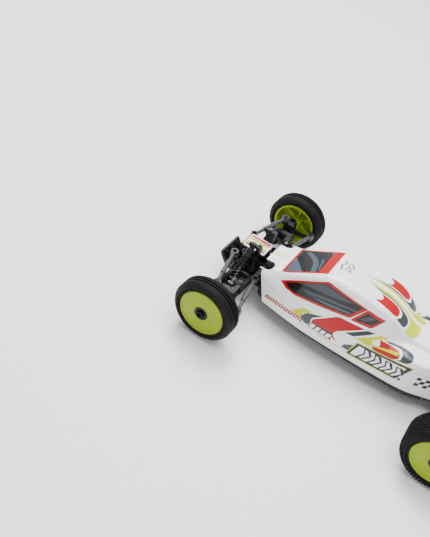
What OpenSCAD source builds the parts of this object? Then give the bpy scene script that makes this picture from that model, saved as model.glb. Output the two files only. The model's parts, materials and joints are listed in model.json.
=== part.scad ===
// 1/24 two-wheel-drive off-road buggy, radio controlled.
// Nose towards -Y, the car's left towards +X, up +Z, ground at z = 0.
// Origin: middle of the bounding box, on the ground.

/* [Wheels and stance] */
// Distance between the front and the rear axle
wheelbase = 116.5; // [100:0.5:140]
// Distance from the outer face of the left rims to that of the right ones
rim_track = 98.6; // [94:0.2:112]
// Front tyre diameter
front_tyre_d = 31.5; // [30:0.25:34]
// Rear tyre diameter
rear_tyre_d = 32.5; // [31:0.25:35]
// Rim diameter, all four wheels
rim_d = 23; // [21:0.5:24.5]
// Front tyre width
front_tyre_w = 10; // [9:0.25:11]
// Rear tyre width
rear_tyre_w = 15.5; // [14:0.25:16]
// Height of the chassis underside above the ground
ride_h = 7.6; // [6.5:0.1:8.5]

/* [Chassis and body] */
// Half width of the chassis at its widest
tub_half_w = 18.2; // [17:0.1:19.5]
// Thickness of the chassis floor
tub_t = 1.5; // [1.2:0.1:2]
// Thickness of the body shell
shell_t = 0.8; // [0.6:0.05:1]
// Height of the roof above the front axle
roof_h = 26.6; // [24:0.2:32]
// Half width of the roof
roof_half_w = 12.5; // [11:0.1:14]
// Nose plate: half width, length, thickness
nose_half_w = 5; // [4.4:0.1:5.2]
nose_len = 12.2; // [10:0.1:13]
nose_t = 0.8; // [0.6:0.1:1.2]
// Rear wing: half span, chord, height of its trailing edge above the ground
wing_half_w = 34; // [28:0.5:40]
wing_chord = 22; // [18:0.5:26]
wing_top = 59; // [54:0.5:64]

/* [Suspension] */
// Length of every arm and link between its two pivots, across the car
link_span = 24; // [23:0.1:25]
// Distance of the inner arm pivots from the middle of the car
arm_in = 9.5; // [9.2:0.1:10]
// Thickness of the arms
arm_t = 3.4; // [3:0.1:3.8]
// Diameter of the hinge pins
pin_d = 1.4; // [1.2:0.1:1.6]
// Radius of the shock absorber body
damper_r = 1.8; // [1.5:0.05:2]
// Radius of the piston rod
rod_r = 0.5; // [0.4:0.05:0.7]
// Length of the steering levers
steer_r = 12; // [11:0.1:12.4]

/* [Drive] */
// Gear module
gear_m = 0.4; // [0.38:0.01:0.42]
// Teeth of the motor pinion
pinion_n = 10; // [10:1:11]
// Teeth of the spur gear
spur_n = 40; // [38:1:41]
// Teeth of the small gear on the layshaft
small_n = 14; // [13:1:15]
// Teeth of the idler gear
idler_n = 18; // [17:1:19]
// Teeth of the differential gear
diff_n = 34; // [32:1:35]
// Motor diameter and length
motor_d = 11.6; // [9:0.1:11.6]
motor_l = 15; // [12:0.1:15.4]

/* [Fits] */
// Radial clearance of pins and shafts that turn
fit = 0.06; // [0.03:0.01:0.1]
// Radial clearance of the opened pivots of the linkages
loose = 0.3; // [0.2:0.01:0.4]
// Side clearance between moving pieces
gap = 0.35; // [0.3:0.01:0.5]

/* [Hidden] */
$fn = 48;

// Colours
black = "#1c1d1f";
dark = "#2b2c2e";
rubber = "#17181a";
lime = "#b4c800";
white = "#f2f3f4";
steel = "#a9adb2";
grey = "#6c6f74";
blue = "#27406b";
green = "#1f5a38";

// Axles
bumper_reach = 16.5;
wing_reach = 30;
front_y = -(bumper_reach + wheelbase + wing_reach) / 2 + bumper_reach;
rear_y = front_y + wheelbase;
front_z = front_tyre_d / 2;
rear_z = rear_tyre_d / 2;
face_x = rim_track / 2;
tyre_out = face_x + 0.4;
rim_r = rim_d / 2;

// Front suspension, measured from the front axle's middle
arm_out = arm_in + link_span;
front_pin_z = -3.2;
arm_half_y = 5.5;
barrel_r = 1.7;
king_x = arm_out + 3.5;
king_half_h = 3.05;
upper_z = 6.3;
link_in_y = -8.5;
link_out_y = -3.2;
ring_r = 1.9;
ring_h = 2.2;
ball_r = 1.15;
stud_r = 0.6;
link_r = 0.9;
rack_y = -5 + steer_r;
lever_x = 3;
lever_y = -5;
lever_h = 1.2;
lever_z = 1.6;
front_shock_top = [7.5, 14.5];
front_shock_foot = [arm_out - 11.5, -1.2];
front_shock_y = -0.9;
tower_y = 1.25;
tower_t = 2;
eye_w = 2.4;
eye_r = 1.7;
shock_pin_r = 0.6;

// Rear suspension, measured from the rear axle's middle
rear_pin_z = -5.2;
rear_upper_z = 7;
rear_link_y = -3.4;
rear_shock_top = [9.5, 22];
rear_shock_foot = [arm_out - 8.5, -3.6];
rear_shock_y = 5.5;
rear_tower_y = 8.7;
case_half_w = 6.4;
cup_r = 2.3;
shaft_in = 9;
shaft_out = shaft_in + link_span;
hub_x = arm_out + 1.2;
hub_w = 4;
axle_r = 1.2;

// Gears, measured from the rear axle's middle
mesh = 0.12;
cd_motor = gear_m * (pinion_n + spur_n) / 2 + mesh;
cd_small = gear_m * (small_n + idler_n) / 2 + mesh;
cd_diff = gear_m * (idler_n + diff_n) / 2 + mesh;
// Height of a tooth above the pitch circle, in modules
tooth_tip = 0.8;
// The layshaft stands high enough for the spur gear to clear the floor
lay_z = ride_h + tub_t + 0.3 + gear_m * (spur_n / 2 + tooth_tip) - rear_z;
lay_y = -sqrt(pow(cd_small + cd_diff, 2) - lay_z * lay_z);
lay = [lay_y, lay_z];
idler = lay * cd_diff / (cd_small + cd_diff);
// The motor lies on the floor, in front of the layshaft
motor_z = ride_h + tub_t + 0.15 + motor_d / 2 - rear_z;
motor_y = lay_y - sqrt(cd_motor * cd_motor - pow(lay_z - motor_z, 2));
spur_x = 7.2;
spur_w = 1.8;

// ---------------------------------------------------------------- helpers

// A child moved to the front axle's height and place
module at_front() translate([0, front_y, front_z]) children();
module at_rear() translate([0, rear_y, rear_z]) children();
// Cylinders along X and along Y
module rod_x(r, x0, x1) translate([x0, 0, 0]) rotate([0, 90, 0]) cylinder(r = r, h = x1 - x0);
module rod_y(r, y0, y1) translate([0, y1, 0]) rotate([90, 0, 0]) cylinder(r = r, h = y1 - y0);
// A box from its two corners
module block(a, b) translate(a) cube(b - a);
// An outline in (y, z), as thick as x0 to x1
module side_plate(points, x0, x1)
    translate([x0, 0, 0]) rotate([90, 0, 90]) linear_extrude(x1 - x0) polygon(points);
// An outline in (x, z), from y0 to y1
module cross_plate(points, y0, y1)
    translate([0, y1, 0]) rotate([90, 0, 0]) linear_extrude(y1 - y0) polygon(points);
// The outline of both halves from the right-hand one
function both(points) =
    concat(points, [for (i = [len(points) - 1:-1:0]) [-points[i][0], points[i][1]]]);

// A straight link with a ring at each end; the rings' bores stand upright
module ring_link(a, b, bore_a, bore_b, r = link_r) {
    d = b - a;
    run = norm(d);
    difference() {
        union() {
            translate([a[0], a[1], a[2] - ring_h / 2]) cylinder(r = ring_r, h = ring_h);
            translate([b[0], b[1], b[2] - ring_h / 2]) cylinder(r = ring_r, h = ring_h);
            translate(a) rotate([0, 0, atan2(d[1], d[0])]) {
                rod_x(r, ring_r * 0.7, run - ring_r * 0.7);
                rod_x(r * 1.35, run * 0.3, run * 0.7);
            }
        }
        translate([a[0], a[1], a[2] - ring_h]) cylinder(r = bore_a, h = 2 * ring_h);
        translate([b[0], b[1], b[2] - ring_h]) cylinder(r = bore_b, h = 2 * ring_h);
    }
}

// A ball on a post, standing on z0
module ball_stud(p, z0) {
    translate([p[0], p[1], z0]) cylinder(r = stud_r, h = p[2] - z0);
    translate(p) sphere(r = ball_r);
}

// Gear outline with straight-sided teeth, slim enough to mesh freely
module gear_2d(n) {
    r = gear_m * n / 2;
    tip = r + tooth_tip * gear_m;
    root = r - 1.15 * gear_m;
    step = 360 / n;
    polygon([for (i = [0:n - 1], k = [0:3])
        let (a = i * step + [-0.29, -0.11, 0.11, 0.29][k] * step, q = (k == 0 || k == 3) ? root : tip)
        [q * cos(a), q * sin(a)]]);
}
module gear(n, x0, x1, turn = 0)
    translate([x0, 0, 0]) rotate([0, 90, 0]) rotate([0, 0, turn]) linear_extrude(x1 - x0) gear_2d(n);

// ---------------------------------------------------------------- body shell

shell_front = 7.5;
shell_len = wheelbase - 19;
shell_bottom = ride_h + tub_t - front_z + 0.15;
dz = roof_h - 26.6;
dx = roof_half_w - 12.5;
// Each row: place along the shell (0 front, 1 rear), then half width and height, from the front axle
ridge = [[0, 11.3], [0.056, 12.2], [0.113, 13.2], [0.21, 19.2 + dz / 2], [0.313, 25.4 + dz], [0.415, 26.6 + dz],
    [0.518, 26.5 + dz], [0.62, 25.4 + dz], [0.682, 22.8 + dz], [0.744, 19 + dz / 2], [0.805, 17.7], [1, 17]];
edge_x = [[0, 10.5], [0.056, 11.2], [0.113, 11.4], [0.21, 11.9 + dx / 2], [0.313, 12.3 + dx], [0.415, 12.5 + dx],
    [0.518, 12.5 + dx], [0.62, 12.4 + dx], [0.682, 11.2 + dx], [0.744, 8.2], [0.805, 7.4], [1, 6.4]];
edge_z = [[0, 11], [0.056, 11.8], [0.113, 12.7], [0.21, 18.6 + dz / 2], [0.313, 24.8 + dz], [0.415, 26 + dz],
    [0.518, 25.9 + dz], [0.62, 24.6 + dz], [0.682, 21.6 + dz], [0.744, 16.4], [0.805, 14.6], [1, 14]];
waist_x = [[0, 13.2], [0.113, 14], [0.21, 15.2], [0.313, 15.8], [0.415, 15.8], [0.518, 15.5], [0.62, 14.6],
    [0.682, 13], [0.744, 10], [0.805, 8.8], [1, 7.8]];
waist_z = [[0, 9.4], [0.113, 9], [0.21, 9.2], [0.313, 10.8], [0.415, 12.4], [0.518, 13.6], [0.62, 14],
    [0.682, 13.6], [0.744, 12.8], [0.805, 12.6], [1, 12.6]];
crease_x = [[0, 14.4], [0.113, 15.7], [0.21, 17.3], [0.313, 18.4], [0.415, 18.8], [0.62, 18.4], [0.805, 17.5],
    [0.877, 16.6], [1, 12]];
crease_z = [[0, 7.6], [0.113, 5.2], [0.21, 2.2], [0.313, 1.9], [0.415, 3], [0.518, 4.6], [0.62, 6.8],
    [0.744, 9.8], [0.805, 11.4], [1, 11.4]];
sill_x = [[0, 14.7], [0.113, 16.2], [0.21, 17.6], [0.313, 18.7], [0.415, 19], [0.62, 18.7], [0.805, 17.8],
    [0.877, 16.8], [1, 12.2]];

// A row's value at t, with its corners eased over a short stretch
ease = 0.03;
function along(t, rows) = (lookup(t - ease, rows) + lookup(t - ease / 2, rows) + lookup(t, rows)
    + lookup(t + ease / 2, rows) + lookup(t + ease, rows)) / 5;
// Half of the cross-section, from the sill up to the ridge, taken in by w
function half_section(t, w, z0) = [
    [along(t, sill_x) - w, z0],
    [along(t, crease_x) - w, along(t, crease_z) - w / 3],
    [along(t, waist_x) - w, along(t, waist_z) - w],
    [along(t, edge_x) - w, along(t, edge_z) - w],
    [0, along(t, ridge) - w]];
// An open run of points with every corner cut twice
function cut_corners(p, k) = concat([p[0]],
    [for (i = [1:len(p) - 2], s = [-1, 1]) p[i] + (s < 0 ? p[i - 1] - p[i] : p[i + 1] - p[i]) * k],
    [p[len(p) - 1]]);
function round_half(t, w, z0) = cut_corners(cut_corners(half_section(t, w, z0), 0.16), 0.28);
function ring(t, w, z0) = let (h = round_half(t, w, z0), n = len(h))
    concat(h, [for (i = [n - 2:-1:0]) [-h[i][0], h[i][1]]]);
shell_steps = 56;
// Solid loft of the outline taken in by w, running past each end by over
module loft(w, z0, over) {
    rows = [for (i = [0:shell_steps]) ring(i / shell_steps, w, z0)];
    n = len(rows[0]);
    last = shell_steps;
    points = [for (i = [0:last], p = rows[i])
        [p[0], shell_front + shell_len * i / last + (i == 0 ? -over : i == last ? over : 0), p[1]]];
    sides = [for (i = [0:last - 1], j = [0:n - 1], h = [0, 1]) let (k = (j + 1) % n)
        h == 0 ? [i * n + j, (i + 1) * n + k, (i + 1) * n + j] : [i * n + j, i * n + k, (i + 1) * n + k]];
    polyhedron(points, concat(sides, [[for (j = [n - 1:-1:0]) j]], [[for (j = [0:n - 1]) last * n + j]]));
}
screw_x = 9.8;
screw_y = 10.7;
notch_r = 2.7;
post_r = 1.4;

module body_shell() color(white) at_front() difference() {
    loft(0, shell_bottom, 0);
    loft(shell_t, shell_bottom - 2, 1);
    // The front edge leans back towards the sills
    side_plate([[shell_front - 3, 9.6], [shell_front + 1.4, 9.6], [shell_front + 7.8, shell_bottom - 1],
        [shell_front - 3, shell_bottom - 1]], -25, 25);
    // Notches around the two front body screws
    for (s = [-1, 1]) translate([s * screw_x, screw_y, 4]) {
        cylinder(r = notch_r, h = 12);
        translate([-notch_r, -8, 0]) cube([2 * notch_r, 8, 12]);
    }
}

// ---------------------------------------------------------------- chassis

tub_front = 14;
wall_t = 1.2;
tub_inset = shell_t + 0.6;
// Battery: its left-hand corner, width, length, height
battery_x = -14;
battery_y = 37;
battery_w = 16.4;
battery_l = 42;
battery_h = 10;
floor_z = ride_h + tub_t;

// The kick-up's upper face, from the ground, at a distance behind the front axle
nose_end = -8.4;
kick = 1.2;
function nose_top(y) = floor_z + 0.1 + kick * (9 - y) / (9 - nose_end);

// Half outline of the floor, (x, y) from the front axle
function tub_half(w) = [
    [7.2, -9], [7.4, 9], [tub_half_w - 4.4 - w, tub_front + 1], [tub_half_w - w, shell_front + shell_len * 0.32],
    [tub_half_w + 0.1 - w, shell_front + shell_len * 0.5], [tub_half_w - 1.2 - w, shell_front + shell_len * 0.86],
    [11.6 - w, shell_front + shell_len], [10.8 - w, wheelbase + 9.8]];

module chassis_tub() color(black) translate([0, front_y, 0]) difference() {
    union() {
        difference() {
            translate([0, 0, ride_h]) linear_extrude(tub_t) polygon(both(tub_half(0)));
            // The floor in front of the kick-up is replaced by the nose slab
            block([-25, -30, 0], [25, tub_front, 30]);
        }
        // Kick-up: the nose slab rises towards the front
        side_plate([[tub_front + 2, ride_h], [tub_front + 2, floor_z], [9, nose_top(9)], [nose_end, nose_top(nose_end)],
            [nose_end, nose_top(nose_end) - tub_t], [9, ride_h + 0.2]], -7.2, 7.2);
        // Floor between the nose slab and the wide part
        translate([0, 0, ride_h]) linear_extrude(tub_t)
            polygon(both([[7.2, 8], [10.5, 9.4], [tub_half_w - 4.6, tub_front + 1.2]]));
        // Side walls stand inside the shell
        for (s = [-1, 1]) tub_wall(s);
        // Battery tray ends
        for (y = [battery_y - 1.5, battery_y + battery_l + 0.3])
            block([battery_x, y, floor_z - 0.2], [battery_x + battery_w, y + 1.2, floor_z + 4]);
        // Posts for the two body screws
        for (s = [-1, 1]) translate([s * screw_x, screw_y, floor_z - 0.5])
            cylinder(r = post_r, h = front_z + 10.2 - floor_z + 0.5);
        // Cradle under the motor
        block([-9, wheelbase + motor_y - 5, floor_z - 0.2], [3, wheelbase + motor_y + 5, floor_z + 1]);
    }
    translate([-30, wheelbase + motor_y, rear_z + motor_z]) rotate([0, 90, 0])
        cylinder(r = motor_d / 2 + 0.05, h = 60);
    // Pilot holes of the body screws
    for (s = [-1, 1]) translate([s * screw_x, screw_y, front_z + 3])
        cylinder(r = 0.6, h = 10);
}

module tub_wall(s) {
    pts = [[tub_half_w - 4.4 - tub_inset, tub_front + 2], [tub_half_w - tub_inset, shell_front + shell_len * 0.32],
        [tub_half_w + 0.1 - tub_inset, shell_front + shell_len * 0.5],
        [tub_half_w - 1.2 - tub_inset, shell_front + shell_len * 0.86], [11.6 - tub_inset, shell_front + shell_len - 1]];
    n = len(pts);
    translate([0, 0, floor_z - 0.2]) linear_extrude(4.2)
        polygon(concat([for (p = pts) [s * p[0], p[1]]],
            [for (i = [n - 1:-1:0]) [s * (pts[i][0] - wall_t), pts[i][1] + (i == 0 ? 0.6 : i == n - 1 ? -0.4 : 0)]]));
}

module front_bumper() color(black) translate([0, front_y, 0]) {
    side_plate([[nose_end, nose_top(nose_end)], [nose_end - 2, nose_top(nose_end) + 0.2], [-14.4, front_z - 0.4],
        [-15.4, front_z + 1.2], [-bumper_reach, front_z + 1.2], [-15.9, front_z - 1], [-11.6, floor_z - 0.4],
        [nose_end, nose_top(nose_end) - tub_t]], -8, 8);
    for (x = [-5, 0, 5])
        side_plate([[-10, nose_top(nose_end) + 0.9], [-14.2, front_z + 0.4], [-15.2, front_z + 0.2],
            [-11, nose_top(nose_end) - 0.8]], x - 0.5, x + 0.5);
}

// ---------------------------------------------------------------- nose

tray_half = 6;
lug_y = arm_half_y + gap;
lug_t = 1.6;
roof_z = 9.4;

module front_bulkhead() color(black) at_front() difference() {
    union() {
        // Tray that holds the servo
        side_plate([[nose_end, nose_top(nose_end) - front_z], [7.6, nose_top(7.6) - front_z], [7.6, -3.9],
            [nose_end, -3.9]], -7.2, 7.2);
        for (s = [-1, 1]) on_side(s) {
            block([tray_half, nose_end, -4.4], [7.2, tower_y + tower_t + 0.6, 1.5]);
            block([tray_half, nose_end, -4.4], [7.2, 7.6, -1]);
            // Lugs of the arm hinge pins
            for (y = [-lug_y - lug_t, lug_y])
                pin_lug(y);
            // Pads under the tower's legs
            block([tray_half, tower_y - 0.35, -0.4], [8.6, tower_y + tower_t + 0.35, 1.5]);
            // Bracket of the camber link's ball
            block([tray_half - 0.9, -9.9, 1.4], [arm_in + 1.3, -7, 3.2]);
            block([tray_half - 0.9, nose_end, -1], [7.2, -7.2, 3.2]);
        }
        // Front wall and roof
        block([-5.2, nose_end, -4.4], [5.2, -7.2, roof_z]);
        block([-5.2, nose_end, roof_z - 1.6], [5.2, tower_y, roof_z]);
        // Pin that the idler lever turns on
        translate([-lever_x, lever_y, -4]) cylinder(r = 0.9, h = 4 + lever_z + lever_h + 0.3);
    }
    for (s = [-1, 1]) translate([s * arm_in, 0, front_pin_z]) rod_y(pin_d / 2, -12, 12);
    // Lightening pocket in the front wall
    block([-3.4, -9, 2.6], [3.4, -7, 6.8]);
}
module on_side(s) mirror([s < 0 ? 1 : 0, 0, 0]) children();
module pin_lug(y) {
    translate([arm_in, 0, front_pin_z]) rod_y(1.7, y, y + lug_t);
    block([6.8, y, front_pin_z - 1.7], [arm_in, y + lug_t, front_pin_z + 1.7]);
}

module nose_plate() color(white) at_front() {
    translate([0, -7.5, roof_z]) {
        block([-nose_half_w + 1, 0, 0], [nose_half_w - 1, nose_len, nose_t]);
        block([-nose_half_w, 1, 0], [nose_half_w, nose_len - 1, nose_t]);
        for (x = [1 - nose_half_w, nose_half_w - 1], y = [1, nose_len - 1])
            translate([x, y, 0]) cylinder(r = 1, h = nose_t);
    }
}

module front_shock_tower() color(black) at_front() {
    difference() {
        union() {
            cross_plate([[-8.5, 5.6], [8.5, 5.6], [8.5, 8], [5.4, 9.3], [-5.4, 9.3], [-8.5, 8]],
                tower_y, tower_y + tower_t);
            for (s = [-1, 1]) on_side(s) {
                block([7.3, tower_y, 1.5], [8.5, tower_y + tower_t, 6]);
                cross_plate([[5.4, 8], [8.5, 7], [8.5, 12.8], [9.3, 14], [9, 16], [7.5, 16.7], [6, 16], [5.4, 13.5]],
                    tower_y, tower_y + tower_t);
            }
        }
        for (s = [-1, 1]) translate([s * 7, 0, 10.4]) rod_y(0.6, 0, 5);
    }
    // Shock pins
    for (s = [-1, 1]) translate([s * front_shock_top[0], 0, front_shock_top[1]]) {
        rod_y(shock_pin_r, front_shock_y - eye_w / 2 - 0.5, tower_y + 0.5);
        rod_y(1.1, front_shock_y - eye_w / 2 - 1.1, front_shock_y - eye_w / 2 - 0.35);
    }
}

module hinge_pins() color(steel) {
    for (s = [-1, 1]) {
        translate([s * arm_in, front_y, front_z + front_pin_z])
            rod_y(pin_d / 2, -lug_y - lug_t, lug_y + lug_t);
        translate([s * arm_in, rear_y, rear_z + rear_pin_z])
            rod_y(pin_d / 2, -rear_lug_f - lug_t, rear_lug_r + lug_t);
    }
}

module body_screws() color(steel) at_front() {
    for (s = [-1, 1]) translate([s * screw_x, screw_y, 10.2]) difference() {
        union() {
            cylinder(r = 1.9, h = 0.7);
            translate([0, 0, 0.7]) cylinder(r1 = 1.9, r2 = 1.2, h = 0.6);
            translate([0, 0, -5]) cylinder(r = 0.6, h = 5.2);
        }
        for (a = [0, 90]) rotate([0, 0, a]) block([-0.9, -0.22, 0.8], [0.9, 0.22, 2]);
    }
}

// ---------------------------------------------------------------- steering

servo_top = 0.8;
module steering_servo() color(dark) at_front() {
    block([-1.8, -7, -3.9], [tray_half, 9, servo_top]);
    translate([lever_x, lever_y, servo_top]) cylinder(r = 2, h = 0.4);
    translate([lever_x, lever_y, servo_top]) cylinder(r = 0.9, h = lever_z + lever_h + 0.3 - servo_top);
    for (y = [-1, 6]) translate([1, y, servo_top]) cylinder(r = 0.7, h = 0.3);
}

// A steering lever with its pivot at the origin and its tip behind it
module lever() difference() {
    union() {
        cylinder(r = 1.8, h = lever_h);
        translate([0, steer_r, 0]) cylinder(r = 1.3, h = lever_h);
        block([-1, 0, 0], [1, steer_r, lever_h]);
    }
    translate([0, 0, -1]) cylinder(r = 0.9 + fit, h = 5);
    translate([0, steer_r, -1]) cylinder(r = stud_r + fit, h = 5);
}
module servo_saver() color(dark) at_front() translate([lever_x, lever_y, lever_z]) {
    lever();
    for (a = [-50, 50]) rotate([0, 0, a + 180]) block([-0.4, 1.2, 0], [0.4, 2.1, lever_h]);
}
module idler_lever() color(dark) at_front() translate([-lever_x, lever_y, lever_z]) lever();

rack_z = lever_z + lever_h + 0.15;
rack_t = 0.8;
module steering_rack() color(black) at_front() {
    block([-tie_in - 1, rack_y - 1.1, rack_z], [tie_in + 1, rack_y + 1.1, rack_z + rack_t]);
    for (s = [-1, 1]) {
        translate([s * lever_x, rack_y, lever_z + 0.2]) cylinder(r = stud_r, h = rack_z - lever_z);
        translate([s * tie_in, rack_y, rack_z]) cylinder(r = 1.1, h = rack_t);
        // The tie rod's ball hangs under the rack
        translate([s * tie_in, rack_y, tie_ball_z]) {
            cylinder(r = stud_r, h = rack_z - tie_ball_z + 0.1);
            sphere(r = ball_r);
        }
    }
}
tie_in = king_x - link_span;
tie_ball_z = rack_z - 1.75;

module tie_rod() color(grey) at_front()
    ring_link([tie_in, rack_y, tie_ball_z], [king_x, steer_r, tie_ball_z], ball_r + fit, stud_r + loose);

// ---------------------------------------------------------------- front suspension

fork_in = 2.6;
fork_t = 1.7;
web_x = arm_out - 13.5;

module front_arm() color(black) at_front() translate([0, 0, front_pin_z]) difference() {
    union() {
        translate([arm_in, 0, 0]) rod_y(barrel_r, -arm_half_y, arm_half_y);
        // Beams
        block([arm_in, -arm_half_y, -arm_t / 2], [arm_out - 4.5, -arm_half_y + 2.1, arm_t / 2]);
        block([arm_in, arm_half_y - 2.6, -arm_t / 2], [arm_out - 4.5, arm_half_y - 0.7, arm_t / 2]);
        // Webs between them
        block([arm_in, -arm_half_y + 1, -arm_t / 2], [arm_in + 3, arm_half_y - 1, -arm_t / 2 + 1.2]);
        block([web_x - 3.5, -arm_half_y + 1, -arm_t / 2], [web_x - 1.2, arm_half_y - 1, arm_t / 2 - 1]);
        block([arm_out - 7.5, -arm_half_y, -arm_t / 2], [arm_out - 3.4, arm_half_y, arm_t / 2]);
        // Deep rails on both beams, joined across near the outer end; the shock stands between them
        arm_rail(arm_in + 3.5, -arm_half_y, 1.6);
        arm_rail(arm_in + 10, arm_half_y - 2.6, 1.9);
        block([arm_out - 6.4, -arm_half_y, -arm_t / 2], [arm_out - 3.6, arm_half_y - 0.7, rail_top]);
        // Fork of the outer hinge
        for (s = [-1, 1]) {
            y0 = s < 0 ? -fork_in - gap - fork_t : fork_in + gap;
            block([arm_out - 4, y0, -arm_t / 2], [arm_out, y0 + fork_t, arm_t / 2]);
            translate([arm_out, 0, 0]) rod_y(arm_t / 2, y0, y0 + fork_t);
        }
        // Pin of the shock's foot
        translate([front_shock_foot[0], 0, front_shock_foot[1] - front_pin_z])
            rod_y(shock_pin_r, -arm_half_y + 1, arm_half_y - 1.5);
        for (y = [-arm_half_y, arm_half_y - 2.6])
            shock_ear(y, y < 0 ? 2.1 : 2.6);
    }
    for (x = [arm_in, arm_out]) translate([x, 0, 0]) rod_y(pin_d / 2 + fit, -20, 20);
}
// Height of the rails above the hinge pin
rail_top = 5.2;
module arm_rail(x0, y, w)
    cross_plate([[x0, 0], [x0, arm_t / 2], [x0 + 3.5, rail_top], [arm_out - 3.6, rail_top], [arm_out - 3.6, 0]],
        y, y + w);
module shock_ear(y, w) {
    translate([front_shock_foot[0], 0, front_shock_foot[1] - front_pin_z]) rod_y(1.4, y, y + w);
    block([front_shock_foot[0] - 1.4, y, 0], [front_shock_foot[0] + 1.4, y + w, front_shock_foot[1] - front_pin_z]);
}

// C-shaped block that tilts on the arm's end and holds the kingpin
c_out = king_x + 2.1;
module caster_block() color(black) at_front() difference() {
    union() {
        // Lug on the hinge pin
        translate([arm_out, 0, front_pin_z]) rod_y(1.5, -fork_in, fork_in);
        block([arm_out - 1.1, -fork_in, front_pin_z], [arm_out + 0.9, fork_in, king_half_h + 1.6]);
        // The two arms of the C
        for (z = [-king_half_h - 1.6, king_half_h + 0.15])
            translate([0, 0, z]) {
                block([arm_out - 0.4, -2, 0], [king_x, 2, 1.45]);
                translate([king_x, 0, 0]) cylinder(r = 2, h = 1.45);
            }
        // Bracket of the camber link
        block([arm_out - 1.1, link_out_y - 1.2, king_half_h], [arm_out + 1.1, 0, king_half_h + 1.6]);
        ball_stud_loose([arm_out, link_out_y, upper_z], king_half_h + 1.4);
        // Outer hinge pin, held by the block
        translate([arm_out, 0, front_pin_z])
            rod_y(pin_d / 2, -fork_in - gap - fork_t - 0.2, fork_in + gap + fork_t + 0.2);
        // Kingpins
        for (z = [-king_half_h - 1.9, king_half_h - 1.5])
            translate([king_x, 0, z]) cylinder(r = 0.8, h = 3.4);
    }
}
// The opened pivot of a link: a plain post with room around it
module ball_stud_loose(p, z0) {
    translate([p[0], p[1], z0]) cylinder(r = stud_r, h = p[2] + ring_h / 2 + 0.3 - z0);
    translate([p[0], p[1], p[2] + ring_h / 2 + 0.25]) cylinder(r = 1.2, h = 0.6);
}

module steering_knuckle() color(black) at_front() difference() {
    union() {
        block([king_x - 1.2, -2.1, -king_half_h], [king_x + 2.3, 2.1, king_half_h]);
        rod_x(2.3, king_x + 1, king_x + 2.8);
        // Steering arm
        block([king_x - 1, 1, tie_ball_z - 2.9], [king_x + 1, steer_r, tie_ball_z - 1.7]);
        translate([king_x, steer_r, tie_ball_z - 2.9]) cylinder(r = 1.4, h = 1.2);
        ball_stud_loose([king_x, steer_r, tie_ball_z], tie_ball_z - 1.9);
    }
    translate([king_x, 0, -5]) cylinder(r = 0.8 + fit, h = 10);
    rod_x(axle_r, king_x + 1.1, king_x + 5);
}

front_hub_x0 = king_x + 3.4;
nut_x0 = face_x - 3;
module front_axle() color(steel) at_front() {
    rod_x(axle_r, king_x + 1.1, face_x - 1.4);
    translate([nut_x0, 0, 0]) rotate([0, 90, 0]) difference() {
        cylinder(r = 2.1, h = 1.5, $fn = 6);
        translate([0, 0, -1]) cylinder(r = axle_r, h = 4);
    }
}

// A rim with its dished disc, turned about X; x runs inwards from the outer face
module rim(w, hub_r, hub_depth, bore, recess_r, recess) {
    rotate([0, -90, 0]) rotate_extrude() difference() {
        union() {
            // Barrel with its two flanges
            polygon([[rim_r - 1.2, 0.25], [rim_r - 0.2, 0], [rim_r, 0.3], [rim_r, 0.75], [rim_r - 0.3, 0.95],
                [rim_r - 0.3, w - 0.95], [rim_r, w - 0.75], [rim_r, w], [rim_r - 1, w], [rim_r - 1.1, 2.2]]);
            // Disc
            polygon([[0, 0.05], [recess_r + 0.2, 0.05], [rim_r * 0.55, 0.12], [rim_r - 1.3, 0.42],
                [rim_r - 0.6, 0.3], [rim_r - 0.6, 1.9], [rim_r * 0.55, 1.45], [0, 1.35]]);
            // Hub
            polygon([[0, 0.1], [hub_r, 0.1], [hub_r, hub_depth], [0, hub_depth]]);
        }
        polygon([[-1, -1], [bore, -1], [bore, w + 1], [-1, w + 1]]);
        polygon([[-1, -1], [recess_r, -1], [recess_r - 0.15, recess], [-1, recess]]);
    }
    // Ribs behind the disc
    for (a = [0:60:300]) rotate([a, 0, 0])
        block([-4.2, -0.45, hub_r - 0.4], [-1.2, 0.45, rim_r - 1]);
}

// Tyre cross-section (radius, distance from the outer face), round shoulders by arcs
function shoulder(r, cx, a0, a1, rad, n) =
    [for (i = [0:n]) let (a = a0 + (a1 - a0) * i / n) [r + rad * sin(a), cx + rad * cos(a)]];

module front_wheel() color(lime) at_front() translate([face_x, 0, 0])
    rim(front_tyre_w - 0.8, 3, face_x - front_hub_x0, axle_r + fit, 2.5, 3.3);

groove_w = 0.7;
module front_tyre() color(rubber) at_front() translate([tyre_out, 0, 0]) rotate([0, -90, 0])
    rotate_extrude($fn = 96) difference() {
        polygon(tyre_outline(front_tyre_d / 2, front_tyre_w, 3.2));
        for (k = [-1.5, -0.5, 0.5, 1.5])
            translate([front_tyre_d / 2 - 0.9, front_tyre_w / 2 + k * 1.5 - groove_w / 2]) square([3, groove_w]);
    }
// Outline of a tyre: beads between the flanges, swelling sidewalls, round shoulders
function tyre_outline(r, w, s) = concat(
    [[rim_r - 0.3, 1.4], [rim_r + 0.15, 1.4], [rim_r + 0.15, 0.5]],
    shoulder(r - s, s, 180, 90, s, 8),
    shoulder(r - s, w - s, 90, 0, s, 8),
    [[rim_r + 0.15, w - 0.5], [rim_r + 0.15, w - 1.4], [rim_r - 0.3, w - 1.4]]);

module front_camber_link() color(grey) at_front()
    ring_link([arm_in, link_in_y, upper_z], [arm_out, link_out_y, upper_z], ball_r + fit, stud_r + loose);

// ---------------------------------------------------------------- shock absorbers

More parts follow.
